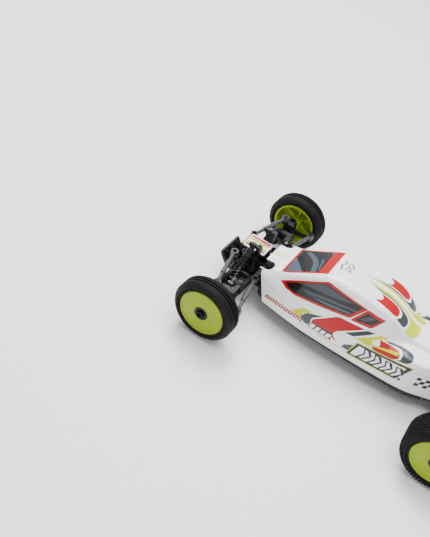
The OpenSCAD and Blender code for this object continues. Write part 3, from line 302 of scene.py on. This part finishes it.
def section(t, bottom):
    """The whole cross-section at t, from the left sill over the roof to the right one, in mm."""
    half = [Vector((along(t, SILL_X), bottom)), Vector((along(t, CREASE_X), along(t, CREASE_Z))),
            Vector((along(t, WAIST_X), along(t, WAIST_Z))), Vector((along(t, EDGE_X), along(t, EDGE_Z))),
            Vector((0, along(t, RIDGE)))]
    points = half + [Vector((-p.x, p.y)) for p in half[3::-1]]
    line, last = [points[0]], points[0]
    for i in range(1, len(points) - 1):
        a = points[i].lerp(points[i - 1], EASING[i])
        b = points[i].lerp(points[i + 1], EASING[i])
        line += [last.lerp(a, k / 5) for k in range(1, 5)]
        line += [a.lerp(points[i], s).lerp(points[i].lerp(b, s), s) for s in (0, 0.2, 0.4, 0.6, 0.8, 1)]
        last = b
    return line + [last.lerp(points[-1], k / 5) for k in range(1, 6)]


def within(p, outline):
    """Whether a 2-D point lies inside an outline."""
    inside = False
    for a, b in zip(outline, outline[1:] + outline[:1]):
        if (a[1] > p[1]) != (b[1] > p[1]) and p[0] < (b[0] - a[0]) * (p[1] - a[1]) / (b[1] - a[1]) + a[0]:
            inside = not inside
    return inside


def region(bm, outline, seen_from, side=1):
    """Cuts the surface along an outline in mm from the front axle and returns the faces inside it.
    From the side the outline is (y, z), on the car's left with side 1; from above it is (x, y)."""
    i, j = (1, 2) if seen_from == "side" else (0, 1)
    points = [(p[0] * MM + front[i], p[1] * MM + front[j]) for p in outline]
    low = [min(p[k] for p in points) for k in (0, 1)]
    high = [max(p[k] for p in points) for k in (0, 1)]

    def near(f):
        if seen_from == "side" and f.calc_center_median().x * side <= 0:
            return False
        if seen_from == "top" and f.normal.z < 0.2:
            return False
        for k, axis in ((0, i), (1, j)):
            values = [v.co[axis] for v in f.verts]
            if max(values) < low[k] or min(values) > high[k]:
                return False
        return True

    faces = [f for f in bm.faces if near(f)]
    geom = faces + list({e for f in faces for e in f.edges}) + list({v for f in faces for v in f.verts})
    for p, q in zip(points, points[1:] + points[:1]):
        normal, at = Vector((0, 0, 0)), Vector((0, 0, 0))
        normal[i], normal[j] = p[1] - q[1], q[0] - p[0]
        at[i], at[j] = p
        geom = bmesh.ops.bisect_plane(bm, geom=geom, dist=1e-7, plane_co=at, plane_no=normal)["geom"]
    found = []
    for f in geom:
        if isinstance(f, bmesh.types.BMFace):
            c = f.calc_center_median()
            if within((c[i], c[j]), points):
                found.append(f)
    return found


def rounded(corners):
    """An outline of corners (a, b) or (a, b, ease); an ease turns that much of both sides into a curve."""
    line = []
    for k, corner in enumerate(corners):
        here = Vector(corner[:2])
        if len(corner) == 2:
            line.append(here)
            continue
        before, after = Vector(corners[k - 1][:2]), Vector(corners[(k + 1) % len(corners)][:2])
        # A curve takes half a side at most, which leaves the other half to the next corner
        a = here + (before - here).normalized() * min(corner[2], (before - here).length / 2)
        b = here + (after - here).normalized() * min(corner[2], (after - here).length / 2)
        line += [a.lerp(here, t).lerp(here.lerp(b, t), t) for t in (0, 0.25, 0.5, 0.75, 1)]
    return [tuple(p) for p, last in zip(line, line[-1:] + line) if (p - last).length > 0.01]


def arc(x, y, r, a0, a1, n=6):
    """Points on an arc, angles in degrees."""
    angles = [math.radians(a0 + (a1 - a0) * k / n) for k in range(n + 1)]
    return [(x + r * math.cos(a), y + r * math.sin(a)) for a in angles]


# Painted shapes on both flanks, corners in (y, z), in the order they are laid down
FLANK = [
    ("yellow", [(30.5, 1), (35, 5.5, 1), (40.5, 6.5), (36, 3, 2), (35.5, -0.5), (33, -0.5)]),
    ("slate", [(38.5, -1), (35.5, 1, 1), (37.5, 4.5, 2), (45.5, 7.5), (40.5, 3.5, 2), (41.5, 0.5, 1),
               (40, -1)]),
    ("red", [(41.5, 1, 1), (41.5, 3.5, 1), (51.5, 11.5, 1.5), (64.5, 12.5), (53, 4.5, 1.5), (53, 2, 1),
             (56, -0.5), (51, 1, 1)]),
    ("slate", [(57, 6.5), (65.5, 12.5, 1), (69.5, 13), (61, 7, 1)]),
    ("yellow", [(61.5, 6.5), (71.5, 13, 1), (75.5, 13), (69, 10, 1), (70.5, 9), (69.5, 7, 1), (64.5, 7)]),
    ("slate", [(58.5, -1.5), (59.5, 1, 1), (63.5, 3.5), (62, -1.5)]),
    ("red", [(72, 11.5), (83, 11, 1.5), (82.5, 8.5, 1.5), (76, 5.5), (70, 7.5), (73.5, 9.5, 1)]),
    ("slate", [(73.5, 12), (89.5, 12, 3), (87, 9, 2), (82, 8), (84, 9.5, 1), (83.5, 11.5, 1), (76.5, 11.5)]),
    ("yellow", [(69.5, 8.5), (82, 11), (82, 10), (70, 8)]),
    ("yellow", [(36.5, -2), (62, -2.5), (62, -3), (36.5, -2.5)]),
    ("yellow", [(61.5, -3.5), (64, 6), (91, 8.5), (85.5, -2.5)]),
    ("black", [(62, -3), (64.5, 5.5), (90.5, 8), (86, -2)]),
    ("white", [(63.5, -2), (65.5, 4.5), (88, 6.5), (85, -1)]),
    ("black", [(86.8, -1.7, 0.7), (88.2, -1.7, 0.7), (88.2, -0.3, 0.7), (86.8, -0.3, 0.7)]),
    ("black", [(40.5, -1.5), (42, 2), (52, 2.5), (53, -1.5)]),
]


def leaning(y, z, long, high, lean):
    """A leaning block: its lower front corner, length, height and how far its top leans back."""
    return [(y, z), (y + lean, z + high), (y + lean + long, z + high), (y + long, z)]


def arrow(y, z, high, deep, lean):
    """A leaning arrowhead that points to the tail."""
    return [(y, z), (y + lean, z + 0.55 * high), (y + lean - 0.7, z + high),
            (y + lean + deep - 0.9, z + 1.03 * high),
            (y + lean + deep + 0.6, z + 0.6 * high), (y + deep, z + 0.05 * high)]


# Outlined arrowheads fill the framed panel
for k in range(4):
    FLANK.append(("black", arrow(66.2 + 5.2 * k, -1.9, 7.1, 3.4, 2.6)))
    FLANK.append(("white", arrow(67.6 + 5.2 * k, -1.3, 5.7, 1.3, 2.1)))
# A row of leaning open blocks, then a dark badge that holds four more
for k in range(8):
    y, z = 15.2 + 2.75 * k, -2.85 + 0.14 * k
    FLANK.append(("red", leaning(y, z, 2.4, 2.3, 0.7)))
    FLANK.append(("white", leaning(y + 0.95, z + 0.85, 0.9, 0.65, 0.25)))
for k in range(4):
    FLANK.append(("white", leaning(41.2 + 2.8 * k, -1.1, 2, 2.5, 1)))
# Chequers on the tail
for k in range(4):
    for m in range(3):
        if (k + m) % 2 == 0:
            FLANK.append(("black", leaning(93.6 + 1.9 * k, -0.8 + 1.9 * m, 1.9, 1.9, 0.5)))
# Windows in the flanks: frame, pane, then painted highlights on the panes in slate and in the lighter highlight
# paint
FLANK += [
    ("red", [(19.5, 10), (40.5, 23.5, 1.5), (61.5, 21.5), (56, 13.5, 1), (41, 10.5), (28.5, 8, 2),
             (23, 8.5, 1)]),
    ("black", [(22, 10.5), (40, 22, 1), (59.5, 21), (55, 14.5, 1), (40.5, 11.5), (28.5, 9, 2),
               (24.5, 9.5, 1)]),
    # Two slate streaks across the black pane: painted highlights
    ("slate", [(27.5, 14), (40, 21.5), (55, 20.5), (48, 18.5, 3), (36, 16.5)]),
    ("slate", [(30, 13), (44, 16.5, 3), (58, 18.5), (57, 17.5), (44, 15, 3), (34, 12.5)]),
    # A lighter streak across the pane: painted highlight
    ("painted_highlight", [(36, 12.5), (46, 14.5, 3), (55.5, 16), (55, 15), (44, 13, 3)]),
    ("red", [(56.5, 13), (61.5, 21.5, 1), (70.5, 20.5, 1), (66.5, 14, 1)]),
    ("black", [(58.5, 14), (62, 20, 0.5), (68.5, 19, 0.5), (66, 15.5, 0.5)]),
    # A slate streak on the rear pane: painted highlight
    ("slate", [(60, 15.5), (63.5, 19), (66.5, 19), (62.5, 15.5)]),
]

# Painted shapes seen from above, corners in (x, y); these are drawn on each half
ROOF_BOTH = [
    ("yellow", [(0.5, 8), (1.5, 8), (1, 15.5), (0.5, 15.5)]),
    ("yellow", [(1, 49.5), (2.5, 60, 4), (2.5, 79, 3), (8.5, 78.5, 1), (8, 85, 4), (1, 85, 2), (1, 56)]),
    ("white", [(2, 74), (2.5, 79.5, 3), (8.5, 79.5, 3), (10, 74)]),
    ("slate", [(2.5, 55.5), (3.5, 61, 3), (3.5, 74, 3), (6.5, 75, 2), (9, 73.5), (9.5, 74), (8.5, 78.5, 3),
               (3, 78.5, 2.5), (2.5, 68)]),
    ("red", [(4, 62), (5.5, 64, 1), (7.5, 64, 1), (9.5, 61), (10, 67, 2), (9.5, 73.5, 3), (4, 73.5, 3)]),
]
ROOF = [
    ("red", [(-11, 17.5), (11, 17.5), (10, 38), (-10, 38)]),
    ("glass", [(-10, 18.5), (10, 18.5), (9, 33.5), (-9, 33.5)]),
    # On the smoked windscreen: painted highlights in the lighter highlight paint, with a black painted
    # reflection band between the first two
    ("painted_highlight", [(-2.5, 18.5), (10, 19), (9.5, 26.5), (3, 22.5, 3)]),
    ("black", [(-3.5, 18.5), (-2.5, 18.5), (3.5, 22.5, 3), (9.5, 26.5), (9.5, 28), (3, 25, 3), (-4, 21)]),
    ("painted_highlight", [(-8.5, 20.5), (-2, 26, 3), (3, 28.5, 2), (9.5, 30), (9, 32), (3, 31, 2), (-3, 28, 3),
              (-8.5, 23)]),
    ("painted_highlight", [(-2.5, 30.5), (7.5, 32.5), (7.5, 33), (-1, 32)]),
    ("painted_highlight", [(-9, 32), (-9, 33.5), (-6.5, 33.5)]),
    ("black", [(-3.5, 40.5), (-1, 41.5), (0, 40), (3.5, 41), (2.5, 43), (3.5, 46), (1, 45), (-0.5, 46.5),
               (-3.5, 44.5), (-2.5, 43)]),
    ("white", [(-2.8, 41.2), (-1, 42), (0.2, 40.8), (2.8, 41.5), (2, 43), (2.8, 45.2), (1, 44.4), (-0.6, 45.8),
               (-2.8, 44.2), (-2, 43)]),
    ("black", [(-1.3, 42.2), (0.2, 43.6), (1.4, 42.2), (1.4, 42.9), (0.2, 44.5), (-1.3, 43)]),
]


def make_shell():
    """The formed body: a grid pulled over the sections, cut along its paint lines, then given its wall."""
    bottom = (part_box("body_shell")[0].z - front.z) / MM
    rows, columns = 116, len(section(0, bottom))
    lines = [section(k / (rows - 1), bottom) for k in range(rows)]
    bm = bmesh.new()
    bmesh.ops.create_grid(bm, x_segments=columns - 1, y_segments=rows - 1, size=1)
    for v in bm.verts:
        c = round((v.co.x + 1) / 2 * (columns - 1))
        r = round((v.co.y + 1) / 2 * (rows - 1))
        p = lines[r][c]
        v.co = front + Vector((p.x, SHELL_FRONT + SHELL_LENGTH * r / (rows - 1), p.y)) * MM
    bm.normal_update()
    if sum(f.normal.z for f in bm.faces) < 0:
        bmesh.ops.reverse_faces(bm, faces=bm.faces)
    bm.normal_update()
    # Normals of the uncut surface, so that paint lines leave no mark on the gloss
    bm.verts.index_update()
    whole = BVHTree.FromBMesh(bm)
    corners = [[(v.co.copy(), v.normal.copy()) for v in f.verts] for f in bm.faces]

    def true_normal(co):
        near, _, index, _ = whole.find_nearest(co)
        around = corners[index]
        weights = poly_3d_calc([c for c, _ in around], near)
        return sum((n * w for (_, n), w in zip(around, weights)), Vector()).normalized()

    # The front edge leans back towards the sills, and leaves room for two screws
    gone = []
    for s in (1, -1):
        slope = [(4, 9.6), (SHELL_FRONT + 1.4, 9.6), (SHELL_FRONT + 7.8, bottom - 1), (4, bottom - 1)]
        gone += region(bm, slope, "side", s)
        first, last = (0, 180) if s > 0 else (180, 0)
        notch = [(s * 7.1, 2), (s * 12.5, 2)] + arc(s * 9.8, 10.7, 2.7, first, last, 14)
        gone += region(bm, notch, "top")
    bmesh.ops.delete(bm, geom=list(set(f for f in gone if f.is_valid)), context="FACES")
    for paint, outline in FLANK:
        for s in (1, -1):
            for f in region(bm, rounded(outline), "side", s):
                f.material_index = PAINT_LIST.index(paint)
    for paint, outline in ROOF:
        for f in region(bm, rounded(outline), "top"):
            f.material_index = PAINT_LIST.index(paint)
    for paint, outline in ROOF_BOTH:
        for s in (1, -1):
            for f in region(bm, [(s * x, y) for x, y in rounded(outline)], "top"):
                f.material_index = PAINT_LIST.index(paint)
    bmesh.ops.dissolve_degenerate(bm, dist=1e-7, edges=bm.edges)
    bm.normal_update()
    bmesh.ops.solidify(bm, geom=list(bm.faces), thickness=0.8 * MM)
    bm.normal_update()
    # Whichever faces lie on the uncut surface are the outer ones
    is_outer, facing = [], 0
    for f in bm.faces:
        centre = f.calc_center_median()
        distance = whole.find_nearest(centre)[3]
        is_outer.append(distance < 0.1 * MM)
        if is_outer[-1]:
            facing += f.normal.dot(true_normal(centre)) * f.calc_area()
        else:
            f.material_index = PAINT_LIST.index("inner")
    if facing < 0:
        bmesh.ops.reverse_faces(bm, faces=bm.faces)
    shell = piece("painted_body", bm, PAINTS.values(), "chassis", 40, ["body_shell"])
    mesh = shell.data
    normals = [Vector(n.vector) for n in mesh.corner_normals]
    for face, keep in zip(mesh.polygons, is_outer):
        if keep:
            for k in face.loop_indices:
                normals[k] = true_normal(mesh.vertices[mesh.loops[k].vertex_index].co)
    mesh.normals_split_custom_set(normals)
    return shell


# ---------------------------------------------------------------- wheels
def tyre_profile(width, radius, grooves, groove_width, depth, bead=11.6):
    """A closed section, (distance from the outer face, radius): beads, swelling walls, round shoulders, ribs."""
    s = 3.2
    left = [(1.5, bead - 0.3), (0.75, bead), (0.4, bead + 0.35), (0.32, bead + 0.8), (0.62, bead + 0.95),
            (0.6, bead + 1.15)]
    shoulder = [(s - s * math.cos(a), radius - s + s * math.sin(a)) for a in
                [math.radians(8 + 82 * k / 9) for k in range(10)]]
    line = left + shoulder
    for g in grooves:
        a, b = g - groove_width / 2, g + groove_width / 2
        line += [(a - 0.12, radius), (a, radius - 0.1), (a + 0.06, radius - depth), (b - 0.06, radius - depth),
                 (b, radius - 0.1), (b + 0.12, radius)]
    line += [(width - x, r) for x, r in reversed(left + shoulder)]
    return line + [(width - 2.4, bead - 0.3), (width - 2.6, bead + 1), (2.6, bead + 1), (2.4, bead - 0.3)]


def make_tyres():
    for name, s in SIDES:
        low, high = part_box("front_tyre_" + name)
        width, radius = (high.x - low.x) / MM, (high.z - low.z) / 2 / MM
        at = Vector((high.x if s > 0 else low.x, front.y, front.z))
        bm = bmesh.new()
        grooves = [width / 2 + 1.5 * k for k in (-1.5, -0.5, 0.5, 1.5)]
        turned(bm, [(-s * x, r) for x, r in tyre_profile(width, radius, grooves, 0.8, 1.2)], at, 120)
        piece("ribbed_tyre_" + name, bm, [RUBBER], "front_wheel_" + name, 40,
              ["front_tyre_" + name])

        low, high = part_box("rear_tyre_" + name)
        width, radius = (high.x - low.x) / MM, (high.z - low.z) / 2 / MM
        at = Vector((high.x if s > 0 else low.x, rear.y, rear.z))
        bm = bmesh.new()
        pin = 0.65
        turned(bm, [(-s * x, r) for x, r in tyre_profile(width, radius - pin, [], 0, 0)], at, 96)
        bm.verts.ensure_lookup_table()
        rows = 11
        for row in range(rows):
            # Rows lie on the crown and round both shoulders
            across = (row - (rows - 1) / 2) * 1.42
            lean = max(0.0, abs(across) - (width / 2 - 3.2)) / 3.2
            angle = math.asin(min(lean, 0.98))
            out = radius - pin - 3.2 + 3.2 * math.cos(angle)
            spot = Vector((across, 0, out))
            turn = Matrix.Rotation(math.copysign(angle, across), 4, "Y")
            count = 66
            for k in range(count):
                around = Matrix.Rotation(math.tau * (k + 0.5 * (row % 2)) / count, 4, "X")
                middle = Matrix.Translation(at + Vector((-s * width / 2 * MM, 0, 0)))
                lift = Matrix.Translation((0, 0, (pin / 2 - 0.08) * MM))
                place = (middle @ around @ Matrix.Translation(spot * MM) @ turn @ lift
                         @ Matrix.Rotation(math.pi / 4, 4, "Z"))
                bmesh.ops.create_cone(bm, cap_ends=True, segments=4, radius1=0.56 * MM, radius2=0.42 * MM,
                                      depth=(pin + 0.16) * MM, matrix=place)
        piece("pin_tyre_" + name, bm, [RUBBER], "rear_wheel_" + name, 40,
              ["rear_tyre_" + name])


# ---------------------------------------------------------------- springs
def make_spring(name, swing, stroke, length, seat_up, seat_down, turns):
    """A coil between the two seats of a shock."""
    top = Vector(joints[swing]["pos_m"])
    down = Vector(joints[stroke]["axis"]).normalized()
    if down.z > 0:
        down = -down
    start, end = top + down * seat_up * MM, top + down * (length - seat_down) * MM
    bm = bmesh.new()
    wire, radius, steps = 0.3, 2.25, 18
    run = (end - start).length - 2 * wire * MM
    upright = Matrix.Translation((radius * MM, 0, wire * MM)) @ Matrix.Rotation(math.pi / 2, 4, "X")
    bmesh.ops.create_circle(bm, segments=8, radius=wire * MM, matrix=upright)
    ring = list(bm.verts) + list(bm.edges)
    bmesh.ops.spin(bm, geom=ring, cent=(0, 0, 0), axis=(0, 0, 1), dvec=(0, 0, run / (turns * steps)),
                   angle=math.tau * turns, steps=turns * steps, use_merge=False, use_duplicate=False)
    bmesh.ops.holes_fill(bm, edges=[e for e in bm.edges if e.is_boundary], sides=0)
    bmesh.ops.recalc_face_normals(bm, faces=bm.faces)
    bmesh.ops.transform(bm, matrix=towards(start, down), verts=bm.verts)
    made = piece(name, bm, [SPRING], None, 60)
    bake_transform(made)


def make_springs():
    for name, s in SIDES:
        make_spring("front_spring_" + name, "front_shock_swing_" + name, "front_rod_stroke_" + name,
                    21.37, 6, 3.3, 7)
        make_spring("rear_spring_" + name, "rear_shock_swing_" + name, "rear_rod_stroke_" + name,
                    29.93, 6, 3.3, 10)


# ---------------------------------------------------------------- nose plate stickers and screws
def make_nose_stripes():
    low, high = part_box("nose_plate")
    top = high.z
    bm = bmesh.new()
    paints = ["red", "yellow", "slate"]
    # Lengthwise stripes: their two edges across the plate, and their paint
    half = (high.x - low.x) / 2 / MM
    for inner, outer, paint_at in ((0.55, 1.75, 1), (1.85, 2.35, 2), (2.9, 4.3, 0)):
        for s in (1, -1):
            a, b = s * inner / 5.2 * half, s * outer / 5.2 * half
            y0, y1 = low.y + 0.5 * MM, high.y - 0.5 * MM
            outline = [(a, y0), (b, y0 + 0.4 * MM), (b, y1), (a, y1 - 0.4 * MM)]
            corners = [Vector((p * MM, q, top - 0.02 * MM)) for p, q in outline]
            plate(bm, corners, Vector((0, 0, 0.08 * MM)), paint_at)
    piece("nose_stripes", bm, [PAINTS[p] for p in paints], "chassis")


def make_wing_stripes():
    """Painted bands that lie on the wing's curved top, from its front edge to the lip."""
    wing = nodes["rear_wing"]
    low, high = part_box("rear_wing")
    bm = bmesh.new()

    def on_top(x, y):
        start = wing.matrix_world.inverted() @ Vector((x, y, high.z + 0.01))
        hit, spot, _, _ = wing.ray_cast(start, Vector((0, 0, -1)))
        return wing.matrix_world @ spot if hit else None

    # Edges of each band as shares of the half width, its sweep in mm, and its paint
    bands = ((0.2, 0.3, 3, 1), (0.33, 0.36, 3, 2), (0.42, 0.62, 5, 0), (0.66, 0.7, 6, 2))
    for inner, outer, sweep, paint_at in bands:
        for s in (1, -1):
            rows = []
            for k in range(15):
                y = low.y + 1.2 * MM + (high.y - low.y - 2.6 * MM) * k / 14
                shift = sweep * MM * k / 14
                ends = [on_top(s * (high.x * part + shift), y) for part in (inner, outer)]
                if None not in ends:
                    rows.append([p + Vector((0, 0, h * MM)) for p, h in
                                 ((ends[0], 0.07), (ends[1], 0.07), (ends[1], -0.05), (ends[0], -0.05))])
            rings = [[bm.verts.new(p) for p in row] for row in rows]
            fresh = [bm.faces.new(rings[0]), bm.faces.new(rings[-1])]
            for a, b in zip(rings, rings[1:]):
                fresh += [bm.faces.new((a[k], a[(k + 1) % 4], b[(k + 1) % 4], b[k])) for k in range(4)]
            for f in fresh:
                f.material_index = paint_at
    bmesh.ops.recalc_face_normals(bm, faces=bm.faces)
    piece("wing_stripes", bm, [PAINTS[p] for p in ("red", "yellow", "slate")], "chassis")


# Places of the upper links' inner and outer balls along the car, in mm from their axle
LINK_ENDS = {"front": (-8.5, -3.2), "rear": (-3.4, -3.4)}


def make_screws():
    """Screws on the tower, bulkhead, chassis underside, hubs and wing, grouped by the body that they ride on."""
    groups = {}

    def put(body, at, direction, radius=1.0, height=0.8):
        bm = groups.setdefault(body, bmesh.new())
        screw(bm, at, direction, radius, height)

    f, r = front, rear
    for s in (1, -1):
        put("chassis", f + Vector((s * 7, 1.25, 10.4)) * MM, (0, -1, 0), 0.9, 0.6)
        put("chassis", f + Vector((s * 6.6, -9.5, 3.2)) * MM, (0, 0, 1), 0.8, 0.6)
    for s in (1, -1):
        side = "left" if s > 0 else "right"
        put("front_arm_" + side, f + Vector((s * 22, -5.5, -1.2)) * MM, (0, -1, 0), 0.8, 0.5)
        put("caster_" + side, f + Vector((s * 37, 0, 4.75)) * MM, (0, 0, 1), 1.1, 0.7)
        put("rear_arm_" + side, r + Vector((s * 25, 8.4, -3.6)) * MM, (0, 1, 0), 0.8, 0.5)
    wing = nodes["rear_wing"]
    tower_low, tower_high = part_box("rear_shock_tower")
    for s in (1, -1):
        x = s * 3.4 * MM
        start = wing.matrix_world.inverted() @ Vector((x, tower_high.y - 3 * MM, tower_high.z + 0.05))
        hit, spot, _, _ = wing.ray_cast(start, Vector((0, 0, -1)))
        if hit:
            put("chassis", wing.matrix_world @ spot, (0, 0, 1), 1.3, 0.6)
    # Small screws close the ball joints of the upper links
    for side, s in SIDES:
        for end, at in (("front", f), ("rear", r)):
            low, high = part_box(end + "_camber_link_" + side)
            inner, outer = (low.x, high.x) if s > 0 else (high.x, low.x)
            reach = 1.9 * MM * s
            y_in, y_out = LINK_ENDS[end]
            for body, x, y in (("chassis", inner + reach, y_in),
                               (("caster_" if end == "front" else "rear_hub_") + side, outer - reach, y_out)):
                put(body, Vector((x, at.y + y * MM, high.z - 0.3 * MM)), (0, 0, 1), 0.75, 0.5)
    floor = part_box("chassis_tub")[0].z
    for x, y in ((5, -2), (-5, -2), (5, 5), (-5, 5), (9.8, 10.7), (-9.8, 10.7), (8, 34), (-8, 34), (0, 34),
                 (11, 60), (-11, 60), (11, 84), (-11, 84), (6, 104), (-6, 104), (6, 122), (-6, 122)):
        put("chassis", Vector((x * MM, front.y + y * MM, floor + 0.12 * MM)), (0, 0, -1), 1.2, 0.1)
    for body, bm in groups.items():
        piece("screws_on_" + body, bm, [SPRING], body)


def make_wheel_centres():
    """A black disc on each dish as painted shade for the shadow in its recess, with a blackened hexagon nut on
    the axle.
    """
    for end, axle_at in (("front", front), ("rear", rear)):
        for side, s in SIDES:
            wheel = nodes[end + "_wheel_" + side]
            start = wheel.matrix_world.inverted() @ (axle_at + Vector((s * 80, 0, 3.2)) * MM)
            hit, spot, _, _ = wheel.ray_cast(start, Vector((-s, 0, 0)))
            face = (wheel.matrix_world @ spot).x if hit else s * 45 * MM
            place = towards(Vector((face, axle_at.y, axle_at.z)), (s, 0, 0))
            bm = bmesh.new()
            # The black disc is painted shade: it stands for the shadow in the dish's recess
            painted_shade_disc = [(40, 3.5, -0.4), (40, 3.5, 0.18), (40, 3.3, 0.28), (40, 2.75, 0.28), (40, 2.6, 0.1)]
            nut = [(6, 2.15, 0.0), (6, 2.15, 1.0), (6, 1.9, 1.3), (24, 1.1, 1.35), (24, 1.0, 0.5)]
            stack(bm, painted_shade_disc, place)
            stack(bm, nut, place, material=1)
            piece(end + "_wheel_nut_" + side, bm, [BLACK, SPRING], end + "_wheel_" + side)


def make_sill_lips():
    """The tub's black edge shows below the shell and grows deeper towards the tail."""
    bottom = (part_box("body_shell")[0].z - front.z) / MM
    for side, s in SIDES:
        bm = bmesh.new()
        loops = []
        for k in range(33):
            y = 42 + 58 * k / 32
            x = along((y - SHELL_FRONT) / SHELL_LENGTH, SILL_X)
            deep = 0.6 + 1.5 * k / 32
            corners = [(x - 0.8, bottom + 0.1), (x + 0.4, bottom - 0.1), (x + 0.2, bottom - deep),
                       (x - 1.4, bottom - deep)]
            loops.append([bm.verts.new(front + Vector((s * p, y, q)) * MM) for p, q in corners])
        for a, b in zip(loops, loops[1:]):
            for k in range(4):
                bm.faces.new((a[k], a[(k + 1) % 4], b[(k + 1) % 4], b[k]))
        bm.faces.new(loops[0])
        bm.faces.new(loops[-1])
        bmesh.ops.recalc_face_normals(bm, faces=bm.faces)
        piece("sill_lip_" + side, bm, [BLACK], "chassis")


# ---------------------------------------------------------------- stage
def make_stage():
    floor = bpy.data.materials.new("pale_floor")
    floor.use_nodes = True
    shader = floor.node_tree.nodes["Principled BSDF"]
    shader.inputs["Base Color"].default_value = linear("f6f6f5")
    shader.inputs["Roughness"].default_value = 0.6
    bm = bmesh.new()
    bmesh.ops.create_grid(bm, x_segments=1, y_segments=1, size=4)
    ground = piece("floor", bm, [floor], None)
    world = bpy.data.worlds.new("studio")
    world.use_nodes = True
    world.node_tree.nodes["Background"].inputs["Color"].default_value = linear("f4f6f8")
    world.node_tree.nodes["Background"].inputs["Strength"].default_value = 0.6
    bpy.context.scene.world = world
    lamps = (("key", (-0.35, -0.35, 0.8), 0.45, 13.0), ("fill", (0.6, 0.25, 0.45), 0.6, 1.2),
             ("top", (0.0, 0.15, 0.9), 0.6, 8.0))
    for name, spot, size, power in lamps:
        lamp = bpy.data.objects.new(name, bpy.data.lights.new(name, "AREA"))
        lamp.data.energy = power
        lamp.data.size = size
        lamp.location = spot
        lamp.rotation_mode = "QUATERNION"
        lamp.rotation_quaternion = (-Vector(spot)).to_track_quat("-Z", "Y")
        bpy.context.scene.collection.objects.link(lamp)


make_camera()
dress_frame()
make_shell()
make_tyres()
make_springs()
make_nose_stripes()
make_wing_stripes()
make_screws()
make_wheel_centres()
make_sill_lips()
make_stage()
